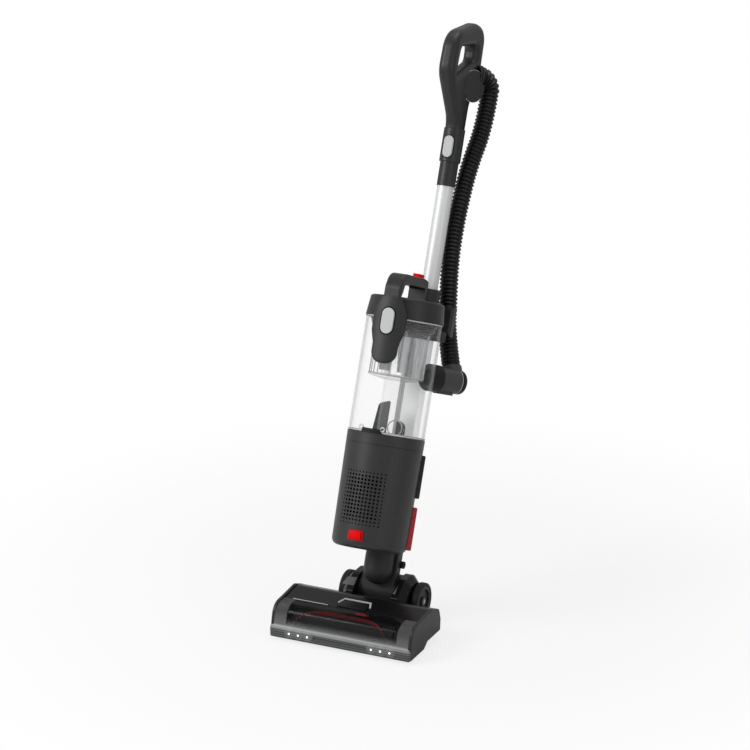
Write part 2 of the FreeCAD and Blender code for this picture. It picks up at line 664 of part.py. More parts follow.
def rear_tyre():
    inner = WHEEL_OUTER - WHEEL_WIDTH
    tyre = rod_x(WHEEL_RADIUS, inner, WHEEL_OUTER, WHEEL_Y, WHEEL_RADIUS)
    edges = [e for e in tyre.Edges if e.Length > 2 * WHEEL_RADIUS]
    return tyre.makeFillet(3.0, edges).cut(rod_x(RIM_RADIUS, inner, WHEEL_OUTER, WHEEL_Y, WHEEL_RADIUS))


def head_screws():
    """Screws that hold the recline housing's tongue under the chassis floor."""
    screws = []
    for x in (-CHEEK_SHOULDER + 8, CHEEK_SHOULDER - 8):
        for y in (CHAMBER_BACK + 16, HEAD_BACK - 14):
            head = rod(4.0, (x, y, CRADLE_BOTTOM - 1.5), Z_AXIS, 1.5)
            screws.append(head)
    return Part.makeCompound(screws)


# From here on pieces are drawn upright in the body frame: y is the offset behind the
# canister axis and z is the height along it.

def core_rod(radius, x0, x1):
    return rod_x(radius, x0, x1, PIVOT_OFFSET, PIVOT_HEIGHT)


def neck_duct():
    """Pivot barrel between the cheeks and the duct that rises from it."""
    half = CHEEK_INNER - TOUCH_GAP
    barrel = core_rod(CORE_RADIUS, -half, half)
    top = HOUSING_BOTTOM - TOUCH_GAP
    duct = plan_prism([(-DUCT_HALF, DUCT_FRONT, 2), (DUCT_HALF, DUCT_FRONT, 2), (DUCT_HALF, DUCT_BACK, 14),
                       (-DUCT_HALF, DUCT_BACK, 14)], PIVOT_HEIGHT, top)
    bores = [core_rod(HINGE_PIN_RADIUS + RUNNING_GAP, CHEEK_INNER - HINGE_PIN_DEPTH - 1, half),
             core_rod(HINGE_PIN_RADIUS + RUNNING_GAP, -half, -CHEEK_INNER + HINGE_PIN_DEPTH + 1),
             rod(GLAND_RADIUS - 1, (DUCT_HALF - 8, GLAND_OFFSET, GLAND_HEIGHT), X_AXIS, 10)]
    return joined([barrel, duct]).cut(bores)


def neck_column():
    """Round column in front of the duct, with a ball-shaped lower end and the steering spigot."""
    top = HOUSING_BOTTOM - TOUCH_GAP
    shaft = rod(COLUMN_RADIUS, (0, COLUMN_OFFSET, COLUMN_FOOT), Z_AXIS, top - COLUMN_FOOT)
    ball = Part.makeSphere(COLUMN_RADIUS, Vector(0, COLUMN_OFFSET, COLUMN_FOOT))
    column = shaft.fuse(ball).cut(box(-60, 60, DUCT_FRONT, DUCT_BACK + 60, 0, top))
    spigot = ring(SWIVEL_RADIUS, SWIVEL_RADIUS - 4, (0, SWIVEL_OFFSET, top - 4), Z_AXIS,
                  SWIVEL_HEIGHT + 4)
    return column.cut(core_rod(CORE_RADIUS, -60, 60)).fuse(spigot).removeSplitter()


def cord_gland():
    start = (DUCT_HALF - 6, GLAND_OFFSET, GLAND_HEIGHT)
    return ring(GLAND_RADIUS - 1, GLAND_BORE, start, X_AXIS, GLAND_LENGTH - 3).fuse(
        ring(GLAND_RADIUS, GLAND_BORE, (DUCT_HALF, GLAND_OFFSET, GLAND_HEIGHT), X_AXIS,
             GLAND_LENGTH - 6)).removeSplitter()


def housing_solid(inset, z0, z1):
    """Outer body of the motor housing, drawn in by an inset, between two levels."""
    foot, top = HOUSING_FOOT_RADIUS - inset, HOUSING_RADIUS - inset
    return turned([(0, z0, 0), (foot, z0, HOUSING_CORNER - inset), (top, z1, 0), (0, z1, 0)])


def grille_holes():
    holes = []
    for column in range(GRILLE_COLUMNS):
        for row in range(GRILLE_ROWS):
            edge = min(column, GRILLE_COLUMNS - 1 - column, row, GRILLE_ROWS - 1 - row)
            radius = GRILLE_HOLE * (0.6 if edge == 0 else 0.85 if edge == 1 else 1)
            x = (column - (GRILLE_COLUMNS - 1) / 2) * GRILLE_PITCH
            z = HOUSING_BOTTOM + GRILLE_BASE + row * GRILLE_PITCH
            holes.append(rod(radius, (x, -HOUSING_RADIUS - 1, z), Y_AXIS, 30))
    return Part.makeCompound(holes)


def power_outline(grow):
    """Front view of the power button: wider at its foot."""
    low = HOUSING_BOTTOM + POWER_BASE - grow
    high = low + POWER_HEIGHT + 2 * grow
    half = POWER_HALF + grow
    return [(-half, low, 3), (half, low, 3), (half - 2, high, 3), (-half + 2, high, 3)]


def motor_housing():
    shell = housing_solid(0, HOUSING_BOTTOM, HOUSING_TOP).cut(
        housing_solid(WALL, HOUSING_BOTTOM + WALL, HOUSING_TOP))
    seam_level = HOUSING_TOP - SEAM_BELOW_TOP
    seam = ring(HOUSING_RADIUS + 5, HOUSING_RADIUS - 0.9, (0, 0, seam_level), Z_AXIS, 1.0)
    collar = rod(SWIVEL_RADIUS + 4, (0, SWIVEL_OFFSET, HOUSING_BOTTOM), Z_AXIS, SWIVEL_HEIGHT + WALL)
    collar = collar.common(housing_solid(0, HOUSING_BOTTOM, HOUSING_TOP))
    bore = rod(SWIVEL_RADIUS + RUNNING_GAP, (0, SWIVEL_OFFSET, HOUSING_BOTTOM), Z_AXIS,
               SWIVEL_HEIGHT + WALL)
    slot = front_prism(power_outline(TOUCH_GAP), -HOUSING_RADIUS - 5, -HOUSING_RADIUS + 20)
    vents = Part.makeCompound([box(-30, 30, HOUSING_RADIUS - 12, HOUSING_RADIUS + 5, z, z + 5)
                               for z in (HOUSING_BOTTOM + FILTER_COVER_BASE + 10 * i for i in range(1, 8))])
    return joined([shell, collar]).cut([seam, bore, slot, grille_holes(), vents])


def rear_shell(base, height):
    """Curved cover on the housing's back, fitted to its taper."""
    low = HOUSING_BOTTOM + base
    shell = sector_shell(HOUSING_FOOT_RADIUS - 2 * WALL, HOUSING_RADIUS + REAR_COVER_PROUD, low, low + height,
                         REAR_COVER_SWEEP)
    outer = [e for e in shell.Edges if e.BoundBox.YMax > HOUSING_RADIUS + REAR_COVER_PROUD - 0.1
             and e.BoundBox.ZLength < 1]
    return shell.makeFillet(2.5, outer).cut(housing_solid(-TOUCH_GAP, HOUSING_BOTTOM, HOUSING_TOP))


def power_button():
    solid = front_prism(power_outline(0), -HOUSING_RADIUS - 5, -HOUSING_RADIUS + 14)
    face = housing_solid(-BUTTON_PROUD, HOUSING_BOTTOM - 1, HOUSING_TOP)
    return solid.common(face)


def motor_stator():
    low = HOUSING_BOTTOM + STATOR_BASE
    can = ring(STATOR_RADIUS, STATOR_RADIUS - STATOR_WALL, (0, 0, low), Z_AXIS, STATOR_HEIGHT)
    bottom = ring(STATOR_RADIUS, MOTOR_SHAFT_RADIUS + RUNNING_GAP, (0, 0, low - 3), Z_AXIS, 3)
    return can.fuse(bottom).removeSplitter()


def fan_rotor():
    """Shaft, wound core and bladed fan of the suction motor."""
    low = HOUSING_BOTTOM + STATOR_BASE
    fan_level = low + STATOR_HEIGHT + 3
    shaft = rod(MOTOR_SHAFT_RADIUS, (0, 0, low - 3), Z_AXIS, STATOR_HEIGHT + 6 + FAN_HEIGHT)
    core = rod(ROTOR_RADIUS, (0, 0, low + 8), Z_AXIS, STATOR_HEIGHT - 16)
    plate = rod(FAN_RADIUS, (0, 0, fan_level), Z_AXIS, 2)
    blades = []
    for i in range(9):
        blade = box(8, FAN_RADIUS - 1, -1, 1, fan_level + 1.5, fan_level + FAN_HEIGHT)
        blade.rotate(Vector(8, 0, 0), Z_AXIS, 25)
        blade.rotate(Vector(0, 0, 0), Z_AXIS, 40 * i)
        blades.append(blade)
    return joined([shaft, core, plate] + blades)


def motor_mount():
    """Rubber ring that holds the stator in the housing."""
    low = HOUSING_BOTTOM + STATOR_BASE + 8
    outer = housing_solid(WALL, HOUSING_BOTTOM + WALL, HOUSING_TOP)
    disc = rod(HOUSING_RADIUS, (0, 0, low), Z_AXIS, MOUNT_THICK).common(outer)
    vents = []
    for i in range(VENTS):
        a = 2 * math.pi * i / VENTS
        place = (VENT_RING * math.cos(a), VENT_RING * math.sin(a), low)
        vents.append(rod(VENT_RADIUS, place, Z_AXIS, MOUNT_THICK))
    return disc.cut([rod(STATOR_RADIUS, (0, 0, low), Z_AXIS, MOUNT_THICK)] + vents)


def exhaust_filter():
    """Filter block behind the red cover."""
    low = HOUSING_BOTTOM + WALL
    block = box(-30, 30, 50, HOUSING_RADIUS, low, HOUSING_BOTTOM + STATOR_BASE + 8)
    collar = rod(SWIVEL_RADIUS + 4.5, (0, SWIVEL_OFFSET, low), Z_AXIS, SWIVEL_HEIGHT)
    return block.common(housing_solid(WALL + TOUCH_GAP, low, HOUSING_TOP)).cut(collar)


def motor_deck():
    """Deck under the dust cup, with the intake and a skirt round the filter."""
    outer = housing_solid(WALL, HOUSING_BOTTOM + WALL, HOUSING_TOP)
    plate = rod(HOUSING_RADIUS, (0, 0, DECK_TOP - DECK_THICK), Z_AXIS, DECK_THICK).common(outer)
    skirt = ring(FILTER_RADIUS + 2.3, FILTER_RADIUS + 0.3, (0, 0, DECK_TOP - DECK_THICK - FILTER_HEIGHT),
                 Z_AXIS, FILTER_HEIGHT)
    return joined([plate, skirt]).cut(rod(INTAKE_RADIUS, (0, 0, 0), Z_AXIS, HOUSING_TOP))


def intake_filter():
    """Filter disc under the deck."""
    low = DECK_TOP - DECK_THICK - FILTER_HEIGHT
    return rod(FILTER_RADIUS, (0, 0, low), Z_AXIS, FILTER_HEIGHT)


def dust_cup():
    """Clear cup wall with the round port of the hose elbow."""
    wall = ring(CUP_RADIUS, CUP_RADIUS - CUP_WALL, (0, 0, CUP_BOTTOM), Z_AXIS, CUP_HEIGHT)
    port = rod(PORT_RADIUS, PORT_OUT * (CUP_RADIUS - 20) + Z_AXIS * PORT_LEVEL, PORT_OUT, 30)
    return wall.cut(port)


def cup_door():
    """Floor of the cup, with the outlet dome."""
    radius = CUP_RADIUS - CUP_WALL - TOUCH_GAP / 2
    disc = rod(radius, (0, 0, CUP_BOTTOM), Z_AXIS, DOOR_THICK)
    top = CUP_BOTTOM + DOOR_THICK
    middle = top + DOME_HEIGHT - DOME_HALF
    dome = rod(DOME_HALF, (DOME_PLACE, -DOME_DEPTH / 2, middle), Y_AXIS, DOME_DEPTH)
    foot = box(DOME_PLACE - DOME_HALF, DOME_PLACE + DOME_HALF, -DOME_DEPTH / 2, DOME_DEPTH / 2, top - 1, middle)
    socket = rod(TUBE_RADIUS + 2, (0, 0, 0), Z_AXIS, CUP_TOP)
    return joined([disc, dome.fuse(foot).cut(socket)])


def cup_fin():
    """Upright fin on the cup's floor with a slanted top, which stops the dust from circling."""
    top = CUP_BOTTOM + DOOR_THICK
    x0, y0 = FIN_LEFT, TUBE_RADIUS + 2
    return front_prism([(x0, top, 1), (x0 + FIN_WIDTH, top, 1), (x0 + FIN_WIDTH, top + FIN_HEIGHT, 3),
                        (x0 + 6, top + FIN_HEIGHT - 8, 8)], y0, y0 + FIN_THICK)


def door_clip():
    """Clip that holds the cup's door, at the foot of the cup's front."""
    bar = ring(CUP_RADIUS + 4.5, CUP_RADIUS + TOUCH_GAP / 2, (0, 0, CUP_BOTTOM), Z_AXIS, CLIP_HEIGHT)
    window = box(-CLIP_HALF, CLIP_HALF, -CUP_RADIUS - 10, -CUP_RADIUS + 25, 0, CUP_TOP)
    return bar.common(window)


def cup_lid():
    t = WALL
    return turned([
        (0, LID_TOP, 0), (LID_TOP_RADIUS, LID_TOP, LID_CORNER), (LID_RADIUS, CUP_TOP, 0),
        (LID_RADIUS - 2 * t, CUP_TOP, 0), (LID_TOP_RADIUS - 2 * t, LID_TOP - t, LID_CORNER - t), (0, LID_TOP - t, 0)])


def cyclone_collar():
    """Black funnel ring under the lid that carries the cyclone."""
    t = WALL
    top, foot = LID_TOP - WALL - TOUCH_GAP, CUP_TOP - COLLAR_DROP
    r, s = COLLAR_RADIUS, COLLAR_FOOT_RADIUS
    return turned([(s - 2 * t, foot, 0), (s, foot, 1), (r, CUP_TOP - 6, 4), (r, top, t - 0.2),
                   (r - t, top, 0), (r - t, CUP_TOP - 4, 2), (s - 2 * t, foot + 6, 0)])


def cone_places():
    return [(CONE_RING * math.cos(2 * math.pi * i / CONES), CONE_RING * math.sin(2 * math.pi * i / CONES))
            for i in range(CONES)]


def cyclone_shroud():
    """Fluted outer wall of the cyclone."""
    wall = ring(SHROUD_RADIUS, SHROUD_RADIUS - SHROUD_WALL, (0, 0, SHROUD_FOOT), Z_AXIS, SHROUD_HEIGHT)
    ribs = []
    for i in range(FLUTES):
        angle = 2 * math.pi * i / FLUTES
        place = (SHROUD_RADIUS * math.cos(angle), SHROUD_RADIUS * math.sin(angle), SHROUD_FOOT)
        ribs.append(rod(FLUTE_RADIUS, place, Z_AXIS, SHROUD_HEIGHT))
    hollow = rod(SHROUD_RADIUS - SHROUD_WALL, (0, 0, SHROUD_FOOT), Z_AXIS, SHROUD_HEIGHT)
    return joined([wall] + ribs).cut(hollow)


def cyclone_cones():
    """Ring of small cones under one plate."""
    top = SHROUD_TOP
    plate = rod(SHROUD_RADIUS - SHROUD_WALL - TOUCH_GAP, (0, 0, top - 3), Z_AXIS, 3)
    cones, bores = [], []
    for x, y in cone_places():
        foot = Vector(x, y, SHROUD_FOOT + 8)
        height = top - 2 - foot.z
        cones.append(Part.makeCone(4.5, 10.5, height, foot, Z_AXIS))
        bores.append(Part.makeCone(3.0, 9.0, height + 4, foot, Z_AXIS))
    return joined([plate] + cones).cut(bores)


def cyclone_rim():
    """Plate under the shroud that narrows to the centre tube."""
    low = SHROUD_FOOT - RIM_THICK
    return turned([(TUBE_RADIUS - TUBE_WALL, low, 0), (TUBE_RADIUS + 3, low, 1),
                   (RIM_PLATE_RADIUS, SHROUD_FOOT - 3, 1), (RIM_PLATE_RADIUS, SHROUD_FOOT, 1),
                   (TUBE_RADIUS - TUBE_WALL, SHROUD_FOOT, 0)])


def centre_tube():
    """Clear tube that stands on the cup's floor and carries the rim plate."""
    low = CUP_BOTTOM + DOOR_THICK
    tube = ring(TUBE_RADIUS, TUBE_RADIUS - TUBE_WALL, (0, 0, low), Z_AXIS, SHROUD_FOOT - RIM_THICK - low)
    return joined([tube, cyclone_rim()])


def shifted_corners(corners, inset):
    """Anticlockwise corners drawn in by an inset (out if negative), their radii adjusted."""
    flat = [Vector(a, b, 0) for a, b, _ in corners]
    result = []
    for i, here in enumerate(flat):
        into = (here - flat[i - 1]).normalize()
        out = (flat[(i + 1) % len(flat)] - here).normalize()
        turn = into.x * out.y - into.y * out.x
        left_in, left_out = Vector(-into.y, into.x, 0), Vector(-out.y, out.x, 0)
        shift = (left_in + left_out) * (inset / (1 + left_in.dot(left_out)))
        radius = corners[i][2]
        radius = max(radius - inset, 0.5) if turn > 0 else radius + inset
        place = here + shift
        result.append((place.x, place.y, radius))
    return result


def front_panel():
    """Panel over the cup's front that runs up into the carry handle and back to its rear foot."""
    inner, outer = LID_RADIUS + TOUCH_GAP, LID_RADIUS + PANEL_THICK
    foot, crest = CUP_TOP - PANEL_BELOW_LID, LID_TOP + BRIDGE_RISE
    wide, narrow, strap = PANEL_HALF_TOP, PANEL_HALF_BOTTOM, STRAP_HALF
    pill_level = CUP_TOP + PILL_ABOVE_CUP
    face = front_prism([
        (narrow, foot, 22), (narrow, CUP_TOP - 52, 25), (wide, pill_level - 20, 25), (wide, pill_level + 18, 25),
        (strap, LID_TOP + 2, 25), (strap, LID_TOP + 22, 0), (-strap, LID_TOP + 22, 0), (-strap, LID_TOP + 2, 25),
        (-wide, pill_level + 18, 25), (-wide, pill_level - 20, 25), (-narrow, CUP_TOP - 52, 25),
        (-narrow, foot, 22)], -outer - 1, -CUP_RADIUS + 25)
    panel = face.common(ring(outer, inner, (0, 0, foot - 1), Z_AXIS, LID_TOP + 22 - foot))
    panel = rounded_panel(panel, outer)
    under = crest - STRAP_THICK
    loop = side_prism([
        (-outer + 0.6, LID_TOP - 4, 0), (-inner - 0.4, LID_TOP - 4, 0), (-inner + STRAP_DEPTH - 6, LID_TOP + 9, 8),
        (-inner + STRAP_DEPTH, under, 12), (FOOT_FRONT, under, 4), (FOOT_FRONT, LID_TOP + TOUCH_GAP, 0),
        (FOOT_BACK, LID_TOP + TOUCH_GAP, 0), (FOOT_BACK, crest - 3, 6), (FOOT_BACK - 16, crest, 10),
        (-outer + 14, crest, 26), (-outer + 1, LID_TOP + 18, 26)], -strap, strap)
    rims = [e for e in loop.Edges if e.BoundBox.XLength < 0.01 and e.BoundBox.ZMin > LID_TOP + 1
            and (e.BoundBox.ZMax > under + 4 or e.BoundBox.YMax < -inner)]
    loop = loop.makeFillet(4.0, rims)
    panel = panel.cut(box(-40, 40, -outer - 1, 0, LID_TOP - 0.5, LID_TOP + 60))
    whole = joined([panel, loop])
    socket = pill(PILL_HALF + PILL_ROOM, PILL_HEIGHT + 2 * PILL_ROOM, pill_level, -outer - 1, -inner + 3)
    well = lift_well(TOUCH_GAP, LIFT_SUNK + LIFT_TRAVEL + TOUCH_GAP)
    inside = rod(inner, (0, 0, foot - 1), Z_AXIS, LID_TOP - 4 - foot)
    return whole.cut([socket, well, inside])


def rounded_panel(panel, outer):
    """The panel with its outer edges rounded."""
    edges = []
    for e in panel.Edges:
        points = e.discretize(5)
        if all(abs(math.hypot(p.x, p.y) - outer) < 0.05 for p in points) and e.BoundBox.ZMax < LID_TOP + 1:
            edges.append(e)
    return panel.makeFillet(PANEL_EDGE, edges)


def lift_well(grow, depth):
    """Rounded block at the rear of the bridge's top: the red button, or its pocket when grown."""
    crest = LID_TOP + BRIDGE_RISE
    front = FOOT_BACK - 4 - LIFT_LENGTH
    half = LIFT_HALF + grow
    return plan_prism([(-half, front - grow, 2), (half, front - grow, 2), (half, front + LIFT_LENGTH + grow, 2),
                       (-half, front + LIFT_LENGTH + grow, 2)], crest - depth, crest + 20)


def lift_button():
    crest = LID_TOP + BRIDGE_RISE
    block = lift_well(0, LIFT_SUNK).cut(box(-20, 20, -100, 100, crest + LIFT_PROUD, crest + 30))
    top = [e for e in block.Edges if e.BoundBox.ZMin > crest + LIFT_PROUD - 0.1]
    return block.makeFillet(1.2, top)


def pill_button(half, height, room, level, front, back):
    """Pill-shaped button with a flange at its back that guides it in its well."""
    button = pill(half, height, level, front, back)
    rim = [e for e in button.Edges if e.BoundBox.YMax < front + 0.01]
    wide, tall = half + room - TOUCH_GAP, height + 2 * (room - TOUCH_GAP)
    return joined([button.makeFillet(1.5, rim), pill(wide, tall, level, back - FLANGE_THICK, back)])


def cup_button():
    """Grey pill button in the front panel."""
    front = -LID_RADIUS - PANEL_THICK - BUTTON_PROUD
    return pill_button(PILL_HALF, PILL_HEIGHT, PILL_ROOM, CUP_TOP + PILL_ABOVE_CUP, front,
                       -LID_RADIUS - TOUCH_GAP - PILL_TRAVEL)


def wand_bore():
    return rod(WAND_RADIUS + RUNNING_GAP, (0, WAND_OFFSET, SOCKET_TOP - WAND_DEPTH), Z_AXIS, WAND_DEPTH + 40)


def spine():
    """Closed duct behind the cup that carries the wand and stands on the motor housing's back."""
    low = HOUSING_TOP - SPINE_FOOT
    half, front, back = SPINE_HALF, SPINE_FRONT, SPINE_BACK
    body = plan_prism([(-half, front, 1), (half, front, 1), (half, back, 10), (-half, back, 10)], low, SPINE_TOP)
    foot = box(-half, half, front - 20, front + 2, low, HOUSING_TOP - 1)
    foot = foot.cut(rod(HOUSING_RADIUS, (0, 0, 0), Z_AXIS, HOUSING_TOP))
    hollow = box(-half + WALL, half - WALL, front + WALL, back - WALL, low + 6, SOCKET_TOP - WAND_DEPTH - 8)
    return joined([body, foot]).cut([hollow, wand_bore()])


def wand_socket():
    cup = rod(SOCKET_RADIUS, (0, SOCKET_OFFSET, SPINE_TOP), Z_AXIS, SOCKET_HEIGHT)
    back = rod(WAND_RADIUS + 6, (0, WAND_OFFSET, SPINE_TOP), Z_AXIS, SOCKET_HEIGHT)
    socket = joined([cup, back])
    top = [e for e in socket.Edges if e.BoundBox.ZMin > SOCKET_TOP - 0.01]
    return socket.makeFillet(2.0, top).cut(wand_bore())


def hose_clip():
    """Bracket on the spine's right side with a hook round the hose, open to the right."""
    low = SPINE_TOP - CLIP_LENGTH
    block = plan_prism([(SPINE_HALF, CLIP_FRONT, 0), (CLIP_REACH, CLIP_FRONT, 6), (CLIP_REACH, CLIP_BACK, 2),
                        (SPINE_HALF, CLIP_BACK, 0)], low, SPINE_TOP - 1)
    lower = box(SPINE_HALF, CLIP_REACH + 5, CLIP_FRONT - 1, CLIP_BACK + 1, low - 1, low + 30)
    lower.rotate(Vector(CLIP_REACH, 0, low), Y_AXIS, -25)
    block = block.cut(lower.common(box(CLIP_REACH - 14, CLIP_REACH + 9, 0, 200, low - 20, low + 20)))
    base = SPINE_TOP - HOOK_BELOW_TOP
    place = hose_place(base + HOOK_HEIGHT / 2)
    hook = ring(HOOK_RADIUS + HOOK_WALL, HOOK_RADIUS, (place.x, place.y, base), Z_AXIS, HOOK_HEIGHT)
    hook = hook.cut(box(place.x + 4, place.x + 60, place.y - 60, place.y + 60, base - 1, SPINE_TOP))
    web = box(SPINE_HALF, place.x, CLIP_BACK - 1, place.y - HOOK_RADIUS / 2, base, base + HOOK_HEIGHT)
    web = web.cut(rod(HOOK_RADIUS, (place.x, place.y, base - 1), Z_AXIS, HOOK_HEIGHT + 2))
    return joined([block, web, hook])


def hose_place(level):
    """Point of the hose's route at a height."""
    return min(Part.Wire(hose_path()).discretize(800), key=lambda point: abs(point.z - level))


def port_point(out):
    return PORT_OUT * out + Z_AXIS * PORT_LEVEL


def inlet_direction():
    """Direction in which the hose leaves the lower elbow: up, leaning towards the spine."""
    lean = math.radians(INLET_LEAN)
    side = Vector(-PORT_OUT.y, PORT_OUT.x, 0)
    return side * math.sin(lean) + Z_AXIS * math.cos(lean)


def elbow_ring():
    """Black ring against the cup's port, with the web that ties it to the spine."""
    collar = rod(PORT_RADIUS + 7, port_point(CUP_RADIUS - 15), PORT_OUT, 15 + ELBOW_JOINT)
    web = box(SPINE_HALF, SPINE_HALF + 16, SPINE_FRONT + 4, SPINE_FRONT + 24, PORT_LEVEL - 20, PORT_LEVEL + 14)
    bore = rod(HOSE_BORE + 2, port_point(0), PORT_OUT, 200)
    cup_space = rod(CUP_RADIUS + TOUCH_GAP, (0, 0, 0), Z_AXIS, CUP_TOP + 50)
    knuckle = rod(KNUCKLE_RADIUS + TOUCH_GAP, port_point(CUP_RADIUS + ELBOW_JOINT), PORT_OUT, 80)
    duct = box(-SPINE_HALF, SPINE_HALF, SPINE_FRONT, SPINE_BACK, HOUSING_TOP, CUP_TOP)
    return joined([collar, web]).cut([bore, cup_space, knuckle, duct])


def elbow_knuckle():
    """Grey knuckle that turns the air from the hose into the cup's port."""
    start = CUP_RADIUS + ELBOW_JOINT
    body = rod(KNUCKLE_RADIUS, port_point(start), PORT_OUT, ELBOW_END - ELBOW_CAP - start)
    inlet = rod(HOSE_RADIUS + 2, port_point(KNUCKLE_OUT), inlet_direction(), INLET_LENGTH)
    bore = rod(HOSE_BORE, port_point(start), PORT_OUT, KNUCKLE_OUT - start)
    up = rod(HOSE_BORE, port_point(KNUCKLE_OUT), inlet_direction(), INLET_LENGTH + 1)
    tab = box(-9, 9, 0, 34, -KNUCKLE_RADIUS - 4, -KNUCKLE_RADIUS + 3)
    tab.rotate(Vector(0, 0, 0), Z_AXIS, math.degrees(math.atan2(PORT_OUT.y, PORT_OUT.x)) - 90)
    tab.translate(port_point(start))
    return joined([body, inlet, tab]).cut([bore, up])


def elbow_cap():
    cap = rod(KNUCKLE_RADIUS, port_point(ELBOW_END - ELBOW_CAP), PORT_OUT, ELBOW_CAP)
    far = port_point(ELBOW_END)
    rim = [e for e in cap.Edges if e.CenterOfMass.distanceToPoint(far) < 1 and e.Length > 100]
    cap = cap.makeFillet(9.0, rim)
    return cap.cut(rod(HOSE_RADIUS + 2, port_point(KNUCKLE_OUT), inlet_direction(), INLET_LENGTH))


def wand_tube():
    low = SOCKET_TOP - WAND_DEPTH + 0.5
    return ring(WAND_RADIUS, WAND_RADIUS - WAND_WALL, (0, WAND_OFFSET, low), Z_AXIS, GRIP_BASE + TUBE_SEAT - low)


def wand_pill_level():
    return GRIP_BASE + GRIP_LENGTH / 2 - 4


def wand_grip():
    """Sleeve on the top of the tube, with the well of the grey wand button in its front."""
    sleeve = ring(SLEEVE_RADIUS, WAND_RADIUS, (0, WAND_OFFSET, SLEEVE_BASE), Z_AXIS, SLEEVE_LENGTH + 2)
    outer = rod(GRIP_RADIUS, (0, WAND_OFFSET, GRIP_BASE), Z_AXIS, GRIP_LENGTH)
    rims = [e for e in outer.Edges if e.Length > 2 * GRIP_RADIUS * 3]
    outer = outer.makeFillet(1.5, rims)
    front = WAND_OFFSET - GRIP_RADIUS
    well = pill(WAND_PILL_HALF + WAND_PILL_ROOM, WAND_PILL_HEIGHT + 2 * WAND_PILL_ROOM, wand_pill_level(),
                front - 1, front + WAND_PILL_DEPTH + 2)
    bore = rod(WAND_RADIUS, (0, WAND_OFFSET, GRIP_BASE - 1), Z_AXIS, TUBE_SEAT + 1)
    upper = rod(WAND_RADIUS - 8, (0, WAND_OFFSET, GRIP_BASE), Z_AXIS, GRIP_LENGTH + 1)
    return joined([outer.cut([well, bore, upper]), sleeve])


def wand_button():
    front = WAND_OFFSET - GRIP_RADIUS - BUTTON_PROUD
    return pill_button(WAND_PILL_HALF, WAND_PILL_HEIGHT, WAND_PILL_ROOM, wand_pill_level(), front,
                       front + WAND_PILL_DEPTH)


def handle_rim():
    """Side view of the handle's outside, anticlockwise, about the wand's axis."""
    top = HANDLE_HEIGHT + 1
    return [(-HANDLE_NECK_RADIUS, 0, 0), (HANDLE_NECK_RADIUS, 0, 0), (HANDLE_NECK_RADIUS + 1, 48, 30),
            (50, 112, 18), (46, top - 2, 34), (0, top, 40), (-91, top - 33, 44), (-97, 94, 50),
            (-HANDLE_NECK_RADIUS - 1, 14, 40)]


def handle_opening():
    """Side view of the finger opening, anticlockwise."""
    return [(-66, 92, 6), (16, 136, 12), (15, 167, 14), (-60, 149, 14)]


def handle_half():
    """Right half of the handle: a shell split on the middle plane."""
    def placed(corners):
        return [(WAND_OFFSET + y, HANDLE_BASE + z, radius) for y, z, radius in corners]

    outer = side_prism(placed(handle_rim()), 0, HANDLE_HALF)
    hole = side_prism(placed(handle_opening()), 0, HANDLE_HALF)
    body = outer.cut(hole)
    rims = [e for e in body.Edges if e.BoundBox.XMin > HANDLE_HALF - 0.01 and e.BoundBox.ZMax > HANDLE_BASE + 1]
    body = body.makeFillet(HANDLE_EDGE, rims)
    depth = HANDLE_HALF - HANDLE_WALL
    space = side_prism(placed(shifted_corners(handle_rim(), HANDLE_WALL)), -1, depth)
    keep = side_prism(placed(shifted_corners(handle_opening(), -HANDLE_WALL)), -1, depth)
    return body.cut(space.cut(keep))


def hose_port_point(out):
    side, rear = HOSE_PORT_OUT
    start = Vector(side, WAND_OFFSET + rear, HANDLE_TOP - HOSE_PORT_BELOW_TOP)
    return start + Vector(*HOSE_PORT_DIRECTION, 0) * out


def port_boss():
    """Round boss on the handle's right side, in front of the hose's start."""
    side, rear, lift = BOSS_FACE
    centre = Vector(side, WAND_OFFSET + rear, HANDLE_TOP - HOSE_PORT_BELOW_TOP + lift)
    inward = Vector(*BOSS_DIRECTION, 0) * -1
    boss = rod(BOSS_RADIUS, centre, inward, BOSS_DEPTH)
    face = [e for e in boss.Edges if e.CenterOfMass.distanceToPoint(centre) < 1 and e.Length > BOSS_RADIUS]
    boss = boss.makeFillet(BOSS_EDGE, face)
    boss = boss.cut(box(-60, HANDLE_HALF - 3, 0, 200, HANDLE_BASE, HANDLE_TOP))
    boss = boss.cut(rod(HOSE_PORT_RADIUS + TOUCH_GAP, hose_port_point(0), Vector(*HOSE_PORT_DIRECTION, 0), 60))
    return boss.cut(cuff_bend(HOSE_PORT_RADIUS + TOUCH_GAP))


def hose_port():
    """Round socket on the handle's right rear, with its rim and the boss in front of it."""
    out = Vector(*HOSE_PORT_DIRECTION, 0)
    barrel = rod(HOSE_PORT_RADIUS - 1.5, hose_port_point(-HOSE_PORT_DEPTH), out, HOSE_PORT_DEPTH)
    rim = rod(HOSE_PORT_RADIUS, hose_port_point(-HOSE_PORT_RIM), out, HOSE_PORT_RIM)
    return joined([barrel, rim, port_boss()]).cut(rod(HOSE_BORE, hose_port_point(-20), out, 30))


def hose_port_room():
    """Space in the handle for the socket and for the hose beyond it."""
    out = Vector(*HOSE_PORT_DIRECTION, 0)
    seat = rod(HOSE_PORT_RADIUS - 1.5, hose_port_point(-HOSE_PORT_DEPTH), out, HOSE_PORT_DEPTH)
    clear = rod(HOSE_PORT_RADIUS + TOUCH_GAP, hose_port_point(-HOSE_PORT_RIM - TOUCH_GAP), out, 60)
    return joined([seat, clear, port_boss()])


